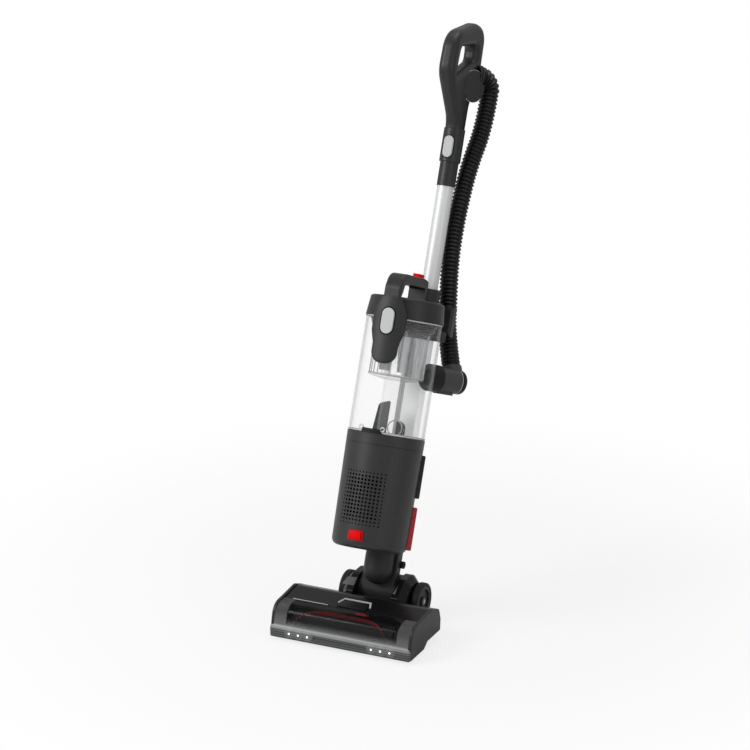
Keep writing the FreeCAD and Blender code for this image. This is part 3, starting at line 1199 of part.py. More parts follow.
def cuff_bend(radius):
    """Solid quarter bend from the handle's port downward."""
    out = Vector(*HOSE_PORT_DIRECTION, 0)
    circle = Part.Wire(Part.Circle(hose_port_point(0), out, radius).toShape())
    return Part.Face(circle).revolve(hose_port_point(0) - Z_AXIS * CUFF_BEND, Z_AXIS.cross(out), 90)


def hose_cuff():
    """Smooth quarter bend that turns the hose downward from the handle."""
    return cuff_bend(CUFF_RADIUS).cut(cuff_bend(HOSE_BORE))


def hose_ends():
    """Where the hose leaves the lower elbow and where it meets the upper cuff."""
    lower = port_point(KNUCKLE_OUT) + inlet_direction() * INLET_LENGTH
    upper = hose_port_point(CUFF_BEND) - Z_AXIS * CUFF_BEND
    return lower, upper


def hose_route():
    """Points of the hose's route, from the lower elbow up to the handle."""
    lower, upper = hose_ends()
    bends = [Vector(x, WAND_OFFSET + y, SPINE_TOP + z) for x, y, z in HOSE_RUN]
    return [lower, lower + inlet_direction() * INLET_RUN] + bends + [upper - Z_AXIS * HOSE_DROP, upper]


def hose_path():
    """Straight runs joined by tangent arcs through the route's points."""
    points = hose_route()
    edges, start = [], points[0]
    for i in range(1, len(points) - 1):
        back, on = points[i - 1] - points[i], points[i + 1] - points[i]
        half = back.getAngle(on) / 2
        cut = 0.45 * min(back.Length, on.Length)
        radius = cut * math.tan(half)
        back, on = back.normalize(), on.normalize()
        enter, leave = points[i] + back * cut, points[i] + on * cut
        middle = points[i] + (back + on).normalize() * (radius / math.sin(half) - radius)
        edges.append(Part.makeLine(start, enter))
        edges.append(Part.Arc(enter, middle, leave).toShape())
        start = leave
    edges.append(Part.makeLine(start, points[-1]))
    return edges


def hose_rings(edges, stations):
    """Circles of given radii at distances along the path, on a steady X axis."""
    wires, before = [], 0.0
    remaining = list(stations)
    for edge in edges:
        while remaining and remaining[0][0] <= before + edge.Length + 1e-6:
            distance, radius = remaining.pop(0)
            at = edge.getParameterByLength(min(distance - before, edge.Length))
            point, along = edge.valueAt(at), edge.tangentAt(at)
            turn = Rotation(X_AXIS, Vector(), along, "ZXY")
            circle = Part.Circle(Vector(), Z_AXIS, radius).toShape()
            circle.Placement = Placement(point, turn)
            wires.append(Part.Wire(circle))
        before += edge.Length
    return wires


def hose():
    """Ribbed hose: an outer skin of ribs and a smooth bore."""
    edges = hose_path()
    length = sum(edge.Length for edge in edges)
    count = int(length / RIB_PITCH)
    pitch = length / count
    stations = [(0.0, HOSE_GROOVE)]
    for i in range(count):
        for share, radius in ((0.12, HOSE_GROOVE), (0.34, HOSE_RADIUS), (0.66, HOSE_RADIUS), (0.88, HOSE_GROOVE)):
            stations.append(((i + share) * pitch, radius))
    stations.append((length, HOSE_GROOVE))
    skin = Part.makeLoft(hose_rings(edges, stations), True, True)
    bore = Part.makeLoft(hose_rings(edges, [(length * i / count, HOSE_BORE) for i in range(count + 1)]),
                         True, True)
    print("hose length", round(length, 1), "ribs", count)
    return skin.cut(bore)


def main():
    os.makedirs("parts", exist_ok=True)
    roller_right, rim, tyre, half = roller(), rear_rim(), rear_tyre(), handle_half()
    head = {
        "head_base": head_base(), "sole_plate": sole_plate(), "top_cover": top_cover(),
        "side_panels": pair(head_side()), "end_caps": pair(hood_strip(
            CAP_THICK, HEAD_HALF - SIDE_THICK - CAP_WIDTH, HEAD_HALF - SIDE_THICK - TOUCH_GAP)),
        "brush_window": hood_strip(WINDOW_THICK, -HEAD_HALF + SIDE_THICK + CAP_WIDTH + TOUCH_GAP,
                                   HEAD_HALF - SIDE_THICK - CAP_WIDTH - TOUCH_GAP),
        "light_bar": light_bar(), "led_strip": led_strip(), "window_latch": window_latch(),
        "brush_roll": brush_roll(), "bristle_rows": bristle_rows(), "brush_bearings": brush_bearings(),
        "drive_belt": drive_belt(), "brush_motor": brush_motor(), "motor_pulley": motor_pulley(),
        "roller_left": mirrored(roller_right), "roller_right": roller_right,
        "recline_housing": recline_housing(), "steel_pins": Part.makeCompound(
            [pair(roller_pin()), pair(hinge_pin()), pair(wheel_axle()), head_screws()]),
        "rim_left": mirrored(rim), "rim_right": rim, "tyre_left": mirrored(tyre), "tyre_right": tyre,
    }
    body = {
        "neck_duct": neck_duct(), "neck_column": neck_column(), "cord_gland": cord_gland(),
        "motor_housing": motor_housing(), "rear_panel": rear_shell(REAR_PANEL_BASE, REAR_PANEL_HEIGHT),
        "filter_cover": rear_shell(FILTER_COVER_BASE, FILTER_COVER_HEIGHT), "power_button": power_button(),
        "motor_stator": motor_stator(), "fan_rotor": fan_rotor(), "motor_mount": motor_mount(),
        "filters": Part.makeCompound([exhaust_filter(), intake_filter()]), "motor_deck": motor_deck(),
        "dust_cup": dust_cup(), "cup_door": cup_door(),
        "cup_fin": cup_fin(), "door_clip": door_clip(), "cup_lid": cup_lid(),
        "cyclone_collar": cyclone_collar(), "cyclone_shroud": cyclone_shroud(),
        "cyclone_cones": cyclone_cones(), "centre_tube": centre_tube(),
        "front_panel": front_panel(), "cup_button": cup_button(),
        "lift_button": lift_button(), "spine": spine(), "wand_socket": wand_socket(),
        "hose_clip": hose_clip(), "elbow_ends": Part.makeCompound([elbow_ring(), elbow_cap()]),
        "elbow_knuckle": elbow_knuckle(), "wand_tube": wand_tube(),
        "wand_grip": wand_grip(), "wand_button": wand_button(), "handle_right": half.cut(hose_port_room()),
        "handle_left": mirrored(half), "hose_port": hose_port(), "hose_cuff": hose_cuff(), "hose": hose(),
    }
    print("nodes", len(head) + len(body))
    lean = Placement(Vector(0, PIVOT_Y, PIVOT_Z), Rotation(X_AXIS, -LEAN)) * Placement(
        Vector(0, -PIVOT_OFFSET, -PIVOT_HEIGHT), Rotation())
    for shape in body.values():
        shape.transformShape(lean.toMatrix())
    nodes = {**head, **body}
    bounds = [shape.BoundBox for name, shape in nodes.items() if name != "hose"]
    middle = (min(b.YMin for b in bounds) + max(b.YMax for b in bounds)) / 2
    side = (min(b.XMin for b in bounds) + max(b.XMax for b in bounds)) / 2
    for name, shape in nodes.items():
        shape.translate(Vector(-side, -middle, 0))
        shape.exportStep("parts/" + name + ".step")
    print("origin offset", round(side, 3), round(middle, 3))


main()
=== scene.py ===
"""Upright vacuum cleaner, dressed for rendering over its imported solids."""

import json
import logging
import math
from dataclasses import dataclass, field, replace
from enum import Enum
from typing import Any

import bmesh
import bpy
from mathutils import Matrix, Vector

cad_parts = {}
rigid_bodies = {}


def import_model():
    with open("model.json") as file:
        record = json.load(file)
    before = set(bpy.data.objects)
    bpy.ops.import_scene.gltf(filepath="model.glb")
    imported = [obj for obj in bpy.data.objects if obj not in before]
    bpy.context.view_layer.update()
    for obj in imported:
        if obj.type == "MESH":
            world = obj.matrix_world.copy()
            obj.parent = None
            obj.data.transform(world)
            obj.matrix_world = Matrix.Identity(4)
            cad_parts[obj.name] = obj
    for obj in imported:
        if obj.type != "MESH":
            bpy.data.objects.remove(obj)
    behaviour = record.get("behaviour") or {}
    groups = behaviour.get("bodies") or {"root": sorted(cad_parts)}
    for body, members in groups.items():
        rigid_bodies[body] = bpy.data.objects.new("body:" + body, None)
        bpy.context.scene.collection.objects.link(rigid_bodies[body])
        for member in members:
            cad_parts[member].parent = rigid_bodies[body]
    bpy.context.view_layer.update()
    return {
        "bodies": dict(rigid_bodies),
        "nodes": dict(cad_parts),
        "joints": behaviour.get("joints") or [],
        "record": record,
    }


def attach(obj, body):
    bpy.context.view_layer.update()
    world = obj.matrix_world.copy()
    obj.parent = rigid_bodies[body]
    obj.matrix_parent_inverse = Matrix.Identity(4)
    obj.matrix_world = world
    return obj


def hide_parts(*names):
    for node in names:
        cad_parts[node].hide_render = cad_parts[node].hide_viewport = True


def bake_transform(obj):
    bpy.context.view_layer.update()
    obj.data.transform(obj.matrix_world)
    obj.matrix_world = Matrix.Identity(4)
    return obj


LOG = logging.getLogger("vacuum")
Colour = tuple[float, float, float]
Point = tuple[float, float, float]
Pair = tuple[float, float]
Outline = tuple[Pair, ...]
Values = dict[Any, Any]
BMesh = bmesh.types.BMesh
Material = bpy.types.Material

LEAN = math.radians(22.0)
RECLINE_PIVOT = Vector((0.0, -0.118402, 0.05))
PIVOT_IN_BODY = Vector((0.0, 0.105, 0.043))
HEAD_SHIFT = -0.193402
BEAD_SIDES, HOSE_SIDES = 10, 28
ACROSS, REAR, UP = Vector((1, 0, 0)), Vector((0, 1, 0)), Vector((0, 0, 1))
IN_PLACE, UPRIGHT = Matrix(), Matrix.Rotation(math.pi / 2, 4, "X")
BODY_FRAME = (Matrix.Translation(RECLINE_PIVOT) @ Matrix.Rotation(-LEAN, 4, "X")
              @ Matrix.Translation(-PIVOT_IN_BODY))
BODY_ORIGIN = BODY_FRAME.translation.copy()
ALONG_BODY = (BODY_FRAME.to_3x3() @ UP).normalized()
REARWARD = (BODY_FRAME.to_3x3() @ REAR).normalized()


def in_body(x: float, rear: float, height: float) -> Vector:
    """Point of the leaning body: to the right, rearward and up the canister, in metres."""
    return BODY_FRAME @ Vector((x, rear, height))


def on_body(x: float, rear: float, height: float) -> Matrix:
    """Frame at a point of the leaning body, turned as the body is."""
    return BODY_FRAME @ Matrix.Translation((x, rear, height))


def in_head(x: float, rear: float, height: float) -> Vector:
    """Point of the floor head from its own measurements, in metres."""
    return Vector((x, rear + HEAD_SHIFT, height))


def facing(direction: Vector) -> Matrix:
    """Turn that points Z along a direction."""
    return direction.to_track_quat("Z", "Y").to_matrix().to_4x4()


class Body(str, Enum):
    """Moving groups that a new piece can ride on."""

    HEAD = "head"
    LEFT_WHEEL = "left_wheel"
    RIGHT_WHEEL = "right_wheel"
    BRUSH = "brush"
    CANISTER = "canister"
    POWER_KEY = "power_key"
    CUP = "cup"
    WAND = "wand"


@dataclass(eq=False)
class Signal:
    """A shader socket that takes part in arithmetic."""

    tree: "Tree"
    socket: bpy.types.NodeSocket

    def _math(self, operation: str, *values: Any) -> "Signal":
        """Adds one Math node with its operands, signals or numbers."""
        return self.tree.out("ShaderNodeMath", dict(enumerate(values)), operation=operation)

    def __add__(self, other: Any) -> "Signal":
        """Sum."""
        return self._math("ADD", self, other)

    def __sub__(self, other: Any) -> "Signal":
        """Difference."""
        return self._math("SUBTRACT", self, other)

    def __rsub__(self, other: Any) -> "Signal":
        """Difference from a number."""
        return self._math("SUBTRACT", other, self)

    def __mul__(self, other: Any) -> "Signal":
        """Product."""
        return self._math("MULTIPLY", self, other)

    def __pow__(self, other: Any) -> "Signal":
        """Power."""
        return self._math("POWER", self, other)

    def magnitude(self) -> "Signal":
        """Distance from zero."""
        return self._math("ABSOLUTE", self)

    def sine(self) -> "Signal":
        """Sine of the angle in radians."""
        return self._math("SINE", self)

    def angle_to(self, other: "Signal") -> "Signal":
        """Angle whose tangent is this over the other, in radians."""
        return self._math("ARCTAN2", self, other)

    def rising(self, low: float, high: float) -> "Signal":
        """Smooth step from 0 at low to 1 at high."""
        return self.tree.out("ShaderNodeMapRange",
                             {"Value": self, "From Min": low, "From Max": high},
                             interpolation_type="SMOOTHSTEP", clamp=True)


class Tree:
    """Node tree of one material, or of the surroundings."""

    def __init__(self, name: str, world: bpy.types.World | None = None) -> None:
        """Starts an empty tree.

        Args:
            name: Name of the new material.
            world: The surroundings, where the tree is theirs.
        """
        self.owner = world or bpy.data.materials.new(name)
        self.owner.use_nodes = True
        self.nodes = self.owner.node_tree.nodes
        self.links = self.owner.node_tree.links
        self.nodes.clear()

    def add(self, kind: str, values: Values, **settings: Any) -> bpy.types.Node:
        """Adds a node.

        Args:
            kind: Blender's name of the node type.
            values: Numbers, colours or signals for the input sockets.
            settings: Properties to set before the sockets.

        Returns:
            The new node.
        """
        node = self.nodes.new(kind)
        for key, value in settings.items():
            setattr(node, key, value)
        for key, value in values.items():
            if isinstance(value, Signal):
                self.links.new(value.socket, node.inputs[key])
            else:
                node.inputs[key].default_value = value
        return node

    def out(self, kind: str, values: Values, output: Any = 0, **settings: Any) -> Signal:
        """Adds a node and returns one of its outputs."""
        return Signal(self, self.add(kind, values, **settings).outputs[output])

    def place(self) -> Signal:
        """Position on the object, in metres of the row frame."""
        return self.out("ShaderNodeTexCoord", {}, "Object")

    def axes(self) -> list[Signal]:
        """Position on the object to the right, rearward and up."""
        node = self.add("ShaderNodeSeparateXYZ", {"Vector": self.place()})
        return [Signal(self, output) for output in node.outputs]

    def distance_along(self, direction: Vector, origin: Vector) -> Signal:
        """How far the surface point lies along a unit direction from an origin, in metres."""
        offset = self.out("ShaderNodeVectorMath", {0: self.place(), 1: tuple(origin)},
                          operation="SUBTRACT")
        return self.out("ShaderNodeVectorMath", {0: offset, 1: tuple(direction)}, "Value",
                        operation="DOT_PRODUCT")

    def noise(self, scale: float, detail: float = 3.0, roughness: float = 0.5,
              place: Signal | None = None) -> Signal:
        """Noise from 0 to 1, on the object's own coordinates unless a place is given."""
        return self.out("ShaderNodeTexNoise", {"Vector": place or self.place(), "Scale": scale,
                                               "Detail": detail, "Roughness": roughness})

    def blend(self, factor: Any, first: Any, second: Any) -> Signal:
        """Mixes two colours or signals: 0 gives the first, 1 the second."""
        colours = [c if isinstance(c, Signal) else (*c, 1.0) for c in (first, second)]
        return self.out("ShaderNodeMix", {0: factor, 6: colours[0], 7: colours[1]}, 2,
                        data_type="RGBA")

    def halo(self, places: tuple[float, ...], level: float, inner: float, outer: float) -> Signal:
        """Round spots on both sides of the middle, 1 inside and fading to 0.

        Args:
            places: Distance of each spot from the middle.
            level: Height of the spots.
            inner: Radius where a spot starts to fade.
            outer: Radius where it has gone.

        Returns:
            The spots.
        """
        across, _, height = self.axes()
        side = across.magnitude()
        spots = [1.0 - ((side - place) ** 2 + (height - level) ** 2).rising(inner ** 2, outer ** 2)
                 for place in places]
        return sum(spots[1:], spots[0])

    def bump(self, height: Signal, strength: float, depth: float) -> Signal:
        """Normal of a surface raised by a height signal."""
        return self.out("ShaderNodeBump",
                        {"Strength": strength, "Distance": depth, "Height": height})

    def close(self, values: Values) -> Material:
        """Ends the tree in one Principled surface with these socket values."""
        shader = self.out("ShaderNodeBsdfPrincipled", values)
        return self.end("ShaderNodeOutputMaterial", shader)

    def end(self, kind: str, shader: Signal) -> Any:
        """Ends the tree in an output node and returns the material or world that owns it."""
        self.add(kind, {"Surface": shader})
        return self.owner


@dataclass(frozen=True)
class Accent:
    """Second colour of a moulding, beyond a plane or in a narrow band along it."""

    direction: Vector
    origin: Vector
    colour: Colour
    softness: float = 0.0006
    band: float = 0.0
    band_core: float = 0.4

    def mask(self, tree: Tree) -> Signal:
        """Finds where the second colour shows.

        Args:
            tree: The material's tree.

        Returns:
            The mask, 1 in the second colour.
        """
        distance = tree.distance_along(self.direction, self.origin)
        if self.band:
            return 1.0 - distance.magnitude().rising(self.band * self.band_core, self.band)
        return distance.rising(0.0, self.softness)


@dataclass(frozen=True)
class MouldedPlastic:
    """Injection-moulded plastic with a fine spark grain and softly uneven sheen."""

    name: str
    colour: Colour
    roughness: float = 0.46
    grain: float = 0.06
    grain_scale: float = 2200.0
    grain_depth: float = 0.0004
    cloud_scale: float = 38.0
    mottle: float = 0.1
    sheen_spread: float = 0.12
    coat: float = 0.0
    specular: float = 0.3
    # glow: strength of an even emission of the shade, painted light that lifts a part out of its
    # shade.
    glow: float = 0.0
    accent: Accent | None = None

    def material(self) -> Material:
        """Builds the finish, clouded towards a slightly lighter shade.

        Returns:
            The material.
        """
        tree = Tree(self.name)
        cloud = tree.noise(self.cloud_scale, 4.0)
        lighter = tuple(min(1.0, c * 1.8 + 0.01) for c in self.colour)
        shade = tree.blend(cloud * self.mottle, self.colour, lighter)
        if self.accent:
            shade = tree.blend(self.accent.mask(tree), shade, self.accent.colour)
        gloss = cloud * self.sheen_spread + (self.roughness - self.sheen_spread / 2)
        grain = tree.noise(self.grain_scale, 2.0)
        # Painted light: with a glow the part also emits its own shade.
        light = {"Emission Color": shade, "Emission Strength": self.glow} if self.glow else {}
        return tree.close({"Base Color": shade, "Roughness": gloss, "Coat Weight": self.coat,
                           "Coat Roughness": 0.08, "Specular IOR Level": self.specular, **light,
                           "Normal": tree.bump(grain, self.grain, self.grain_depth)})


@dataclass(frozen=True)
class BandedPlastic:
    """Smoked plastic with fine level lines round the canister, clearer towards its foot."""

    name: str
    colour: Colour
    light: Colour
    foot: float
    top: float
    pitch: float = 0.0034
    groove: float = 0.0005
    roughness: float = 0.3

    def material(self) -> Material:
        """Builds the finish.

        Returns:
            The material.
        """
        tree = Tree(self.name)
        level = tree.distance_along(ALONG_BODY, BODY_ORIGIN)
        lines = (level * (2 * math.pi / self.pitch)).sine()
        height = level.rising(self.foot, self.top)
        pale = lines * 0.2 + tree.noise(30.0) * 0.3 + (1.0 - height) * 0.6
        return tree.close({"Base Color": tree.blend(pale, self.colour, self.light),
                           "Roughness": tree.noise(60.0) * 0.1 + self.roughness,
                           "Alpha": height * 0.45 + lines * 0.12 + 0.42,
                           "Specular IOR Level": 0.4,
                           "Normal": tree.bump(lines, 0.5, self.groove)})


@dataclass(frozen=True)
class RibbedPlastic:
    """Plastic with fine ribs that run across the head, lighter where the lamps shine on it."""

    name: str
    colour: Colour
    light: Colour
    axis_rear: float
    axis_height: float
    pitch_degrees: float = 4.0
    glow_foot: float = 0.024
    glow_top: float = 0.058
    groove: float = 0.0006
    roughness: float = 0.34

    def material(self) -> Material:
        """Builds the finish, with its ribs stacked round an axis.

        Returns:
            The material.
        """
        tree = Tree(self.name)
        _, rear, height = tree.axes()
        centre = in_head(0, self.axis_rear, self.axis_height)
        turn = (height - centre.z).angle_to(rear - centre.y)
        ribs = (turn * (360.0 / self.pitch_degrees)).sine()
        glow = 1.0 - height.rising(self.glow_foot, self.glow_top)
        shade = tree.blend(glow * 0.6 + ribs * 0.16, self.colour, self.light)
        return tree.close({"Base Color": shade,
                           "Roughness": tree.noise(90.0) * 0.1 + self.roughness,
                           "Specular IOR Level": 0.35,
                           "Normal": tree.bump(ribs, 0.5, self.groove)})


@dataclass(frozen=True)
class LampBar:
    """Grey diffuser that glows round its lamps, with fine level ribs and a painted highlight along
    its top.
    """

    name: str
    colour: Colour
    light: Colour
    lamp_places: tuple[float, ...]
    lamp_height: float
    halo_radius: float = 0.0127
    highlight_from: float = 0.017
    highlight_to: float = 0.031
    rib_pitch: float = 0.0046
    groove: float = 0.0004
    # glow: emission of the lamps' halo, and of the painted highlight along the top.
    glow: float = 0.55

    def material(self) -> Material:
        """Builds the finish.

        Returns:
            The material.
        """
        tree = Tree(self.name)
        height = tree.distance_along(UP, Vector())
        ribs = (height * (2 * math.pi / self.rib_pitch)).sine()
        halo = tree.halo(self.lamp_places, self.lamp_height, 0.0, self.halo_radius)
        # Painted highlight: the top of the bar is lighter, and glows a little too.
        top = height.rising(self.highlight_from, self.highlight_to)
        shade = tree.blend(top * 0.38 + ribs * 0.2, self.colour, self.light)
        lit = tree.blend(halo * 0.12 + top * 0.1, (0, 0, 0), (self.glow,) * 3)
        return tree.close({"Base Color": shade, "Roughness": tree.noise(60.0) * 0.1 + 0.28,
                           "Emission Color": lit, "Emission Strength": 1.0,
                           "Normal": tree.bump(ribs, 0.35, self.groove)})


@dataclass(frozen=True)
class ClearPlastic:
    """Clear or tinted moulding that shows by its edges and reflections."""

    name: str
    face: Colour = (0.8, 0.82, 0.83)
    edge: Colour = (0.16, 0.165, 0.17)
    face_alpha: float = 0.03
    edge_alpha: float = 0.85
    falloff: float = 6.0
    roughness: float = 0.06
    specular: float = 0.3
    accent: Accent | None = None
    accent_alpha: float = 0.85

    def material(self) -> Material:
        """Builds the finish.

        Returns:
            The material.
        """
        tree = Tree(self.name)
        rim = tree.out("ShaderNodeLayerWeight", {"Blend": 0.5}, "Facing") ** self.falloff
        shade = tree.blend(rim, self.face, self.edge)
        cover = rim * (self.edge_alpha - self.face_alpha) + self.face_alpha
        if self.accent:
            mask = self.accent.mask(tree)
            shade = tree.blend(mask, shade, self.accent.colour)
            cover = cover + mask * (self.accent_alpha - self.face_alpha)
        return tree.close({"Base Color": shade, "Alpha": cover,
                           "Roughness": tree.noise(25.0) * 0.05 + self.roughness,
                           "Specular IOR Level": self.specular})


@dataclass(frozen=True)
class StreakedClear:
    """Clear fluted wall with painted reflections in light and dark upright streaks, and a painted
    glow.
    """

    name: str
    light: Colour = (0.9, 0.91, 0.92)
    dark: Colour = (0.05, 0.051, 0.053)
    flutes: int = 30
    reflections_from: float = -0.016
    reflections_to: float = 0.01
    alpha: float = 0.07
    # glow: strength of painted light, the streaked shade emitted evenly.
    glow: float = 0.35

    def material(self) -> Material:
        """Builds the finish round the canister's axis, its painted dark streaks towards its right.

        Returns:
            The material.
        """
        tree = Tree(self.name)
        across, rear, level = (tree.distance_along(direction, BODY_ORIGIN)
                               for direction in (ACROSS, REARWARD, ALONG_BODY))
        angle = rear.angle_to(across)
        wave = (angle * float(self.flutes)).sine()
        wall = tree.out("ShaderNodeCombineXYZ", {"X": angle * 2.6, "Y": level * 3.0})
        broad, fine = tree.noise(1.3, 2.0, place=wall), tree.noise(14.0, 3.0, place=wall)
        # Painted reflections: the dark streaks show only towards the right.
        side = across.rising(self.reflections_from, self.reflections_to)
        reflection_streak = (broad.rising(0.46, 0.6) * 0.8 + fine.rising(0.45, 0.75) * 0.25
                  + wave * 0.1) * side
        shade = tree.blend(reflection_streak, self.light, self.dark)
        # The emission is painted light, a glow of the streaked shade.
        return tree.close({"Base Color": shade, "Roughness": fine * 0.1 + 0.18,
                           "Alpha": reflection_streak * 0.3 + wave * 0.04 + side * 0.04 + self.alpha,
                           "Specular IOR Level": 0.4,
                           "Emission Color": shade, "Emission Strength": self.glow})


@dataclass(frozen=True)
class BrushedMetal:
    """Drawn or anodised metal with faint lines along the body."""

    name: str
    colour: Colour
    roughness: float = 0.32
    metallic: float = 1.0
    line_scale: float = 900.0
    line_length: float = 60.0
    line_depth: float = 0.0002

    def material(self) -> Material:
        """Builds the finish.

        Returns:
            The material.
        """
        tree = Tree(self.name)
        along = tree.out("ShaderNodeMapping",
                         {"Vector": tree.place(), "Rotation": (-LEAN, 0, 0),
                          "Scale": (1, 1, self.line_length)}, vector_type="TEXTURE")
        lines = tree.noise(self.line_scale, 2.0, place=along)
        shade = tree.blend(lines * 0.25, self.colour, tuple(c * 0.8 for c in self.colour))
        return tree.close({"Base Color": shade, "Metallic": self.metallic,
                           "Roughness": lines * 0.1 + (self.roughness - 0.05),
                           "Normal": tree.bump(lines, 0.04, self.line_depth)})


@dataclass(frozen=True)
class SoftFibre:
    """Felt, foam or nylon tuft with a loose uneven surface."""

    name: str
    colour: Colour
    scale: float = 900.0
    depth: float = 0.0008

    def material(self) -> Material:
        """Builds the finish.

        Returns:
            The material.
        """
        tree = Tree(self.name)
        fibre = tree.noise(self.scale, 6.0, 0.7)
        shade = tree.blend(fibre, tuple(c * 0.6 for c in self.colour), self.colour)
        return tree.close({"Base Color": shade, "Roughness": fibre * 0.15 + 0.75,
                           "Sheen Weight": 0.2, "Normal": tree.bump(fibre, 0.5, self.depth)})


@dataclass(frozen=True)
class LitLens:
    """Lens of a lamp that is on, bright in its middle."""

    name: str
    places: tuple[float, ...]
    level: float
    front: float = -0.1246
    core: float = 0.0013
    radius: float = 0.0023
    colour: Colour = (1.0, 1.0, 0.98)
    strength: float = 1.4

    def material(self) -> Material:
        """Builds the finish, brightest at the front of the lens.

        Returns:
            The material.
        """
        tree = Tree(self.name)
        depth = tree.distance_along(REAR, in_head(0, self.front, 0))
        lit = ((1.0 - depth.rising(0.0005, 0.003))
               * tree.halo(self.places, self.level, self.core, self.radius))
        return tree.close({"Base Color": tree.blend(lit, (0.12, 0.12, 0.12), self.colour),
                           "Roughness": 0.3,
                           "Emission Color": tree.blend(lit, (0, 0, 0), self.colour),
                           "Emission Strength": self.strength})


LAMP_PLACES = (0.066, 0.085, 0.104)
LAMP_LEVEL = 0.0173
# Painted shade inside the buttons' wells.
WELL_SHADE_BLACK = (0.004, 0.004, 0.004)

SEAM = Accent(ALONG_BODY, in_body(0, 0, 0.3155), (0.006, 0.006, 0.006), band=0.0011)
# Painted shade: the buttons turn black a little behind their fronts, down in their wells.
CUP_WELL_SHADE = Accent(REARWARD, in_body(0, -0.0785, 0), WELL_SHADE_BLACK)
WAND_WELL_SHADE = Accent(REARWARD, in_body(0, 0.0775, 0), WELL_SHADE_BLACK)
DOME = Accent(ALONG_BODY, in_body(0, 0, 0.3404), (0.07, 0.072, 0.075))
# Painted reflection: the smoked window is lighter grey towards its bottom.
WINDOW_REFLECTION = Accent(-UP, Vector((0, 0, 0.045)), (0.3, 0.305, 0.31), softness=0.018)

CHARCOAL = MouldedPlastic("charcoal_plastic", (0.026, 0.0262, 0.027))
HOUSING = MouldedPlastic(
    "housing_charcoal", (0.025, 0.0252, 0.026), roughness=0.42, specular=0.4, accent=SEAM)
SATIN_CHARCOAL = MouldedPlastic(
    "satin_charcoal", (0.024, 0.0243, 0.025), roughness=0.38, grain=0.03)
SOFT_BLACK = MouldedPlastic("soft_black", (0.006, 0.006, 0.0065), roughness=0.5, specular=0.25)
PIANO_BLACK = MouldedPlastic(
    "piano_black", (0.007, 0.007, 0.008), roughness=0.25, grain=0.0, coat=0.05, specular=0.15)
PALE_GREY = MouldedPlastic("pale_grey_plastic", (0.56, 0.57, 0.58), roughness=0.4, grain=0.02)
# The spine's glow is painted light, lightening it in the shade behind the cup.
DUCT_GREY = MouldedPlastic("duct_grey", (0.93, 0.933, 0.936), roughness=0.45, glow=0.24)
KNUCKLE_GREY = MouldedPlastic("knuckle_grey", (0.055, 0.056, 0.058), roughness=0.4)
BUTTON_GREY = MouldedPlastic(
    "button_grey", (0.58, 0.585, 0.59), roughness=0.4, grain=0.02, mottle=0.04, accent=CUP_WELL_SHADE)
WAND_BUTTON_GREY = replace(BUTTON_GREY, name="wand_button_grey", accent=WAND_WELL_SHADE)
SIGNAL_RED = MouldedPlastic(
    "signal_red", (0.86, 0.002, 0.002), roughness=0.5, grain=0.0, mottle=0.0, specular=0.08)
# Painted shade: a darker copy of the signal red for the power key round its raised plate.
SHADED_KEY_RED = MouldedPlastic("shaded_key_red", (0.5, 0.004, 0.004), roughness=0.4, grain=0.0, specular=0.2)
DARK_RED = MouldedPlastic("dark_red", (0.16, 0.006, 0.012), roughness=0.4, grain=0.0)
# Painted highlights: the pale facets on the cheeks and the rings and caps on the wheels.
HIGHLIGHT_GREY = MouldedPlastic("highlight_grey", (0.13, 0.132, 0.135), roughness=0.34)
TYRE_BLACK = MouldedPlastic(
    "tyre_rubber", (0.008, 0.008, 0.009), roughness=0.6, grain=0.15, grain_scale=900.0)
HOSE_BLACK = MouldedPlastic("hose_plastic", (0.005, 0.005, 0.0055), roughness=0.36, grain=0.02)
# Painted shadow: the near-black rings in the room round the pill buttons.
PAINTED_WELL_SHADOW = MouldedPlastic(
    "well_shadow", (0.0012, 0.0012, 0.0012), roughness=0.7, grain=0.0, specular=0.1)
COLLAR_BLACK = BandedPlastic(
    "collar_black", (0.01, 0.01, 0.011), (0.22, 0.222, 0.225), foot=0.529, top=0.545)
TINTED_RED = ClearPlastic(
    "tinted_red", face=(0.62, 0.012, 0.022), edge=(0.8, 0.25, 0.27), face_alpha=0.9,
    edge_alpha=0.9, falloff=2.5)
CLEAR = ClearPlastic("clear_plastic", edge=(0.085, 0.087, 0.09), falloff=5.5)
CLEAR_DOOR = ClearPlastic("clear_door", accent=DOME)
CLEAR_TRIM = ClearPlastic(
    "clear_trim", face=(0.9, 0.9, 0.9), edge=(0.1, 0.102, 0.105), face_alpha=0.6, edge_alpha=0.95,
    falloff=2.0)
FROSTED = ClearPlastic(
    "frosted_tube", face=(0.96, 0.965, 0.97), edge=(0.16, 0.161, 0.163), face_alpha=0.05,
    edge_alpha=0.7, roughness=0.1)
STEM = ClearPlastic(
    "clear_stem", face=(0.95, 0.955, 0.96), edge=(0.03, 0.031, 0.032), face_alpha=0.55,
    edge_alpha=0.95, falloff=3.0)
SMOKE = ClearPlastic(
    "smoked_window", face=(0.006, 0.006, 0.007), edge=(0.02, 0.02, 0.021), face_alpha=0.22,
    edge_alpha=0.7, falloff=2.5, roughness=0.12, accent=WINDOW_REFLECTION, accent_alpha=0.5)
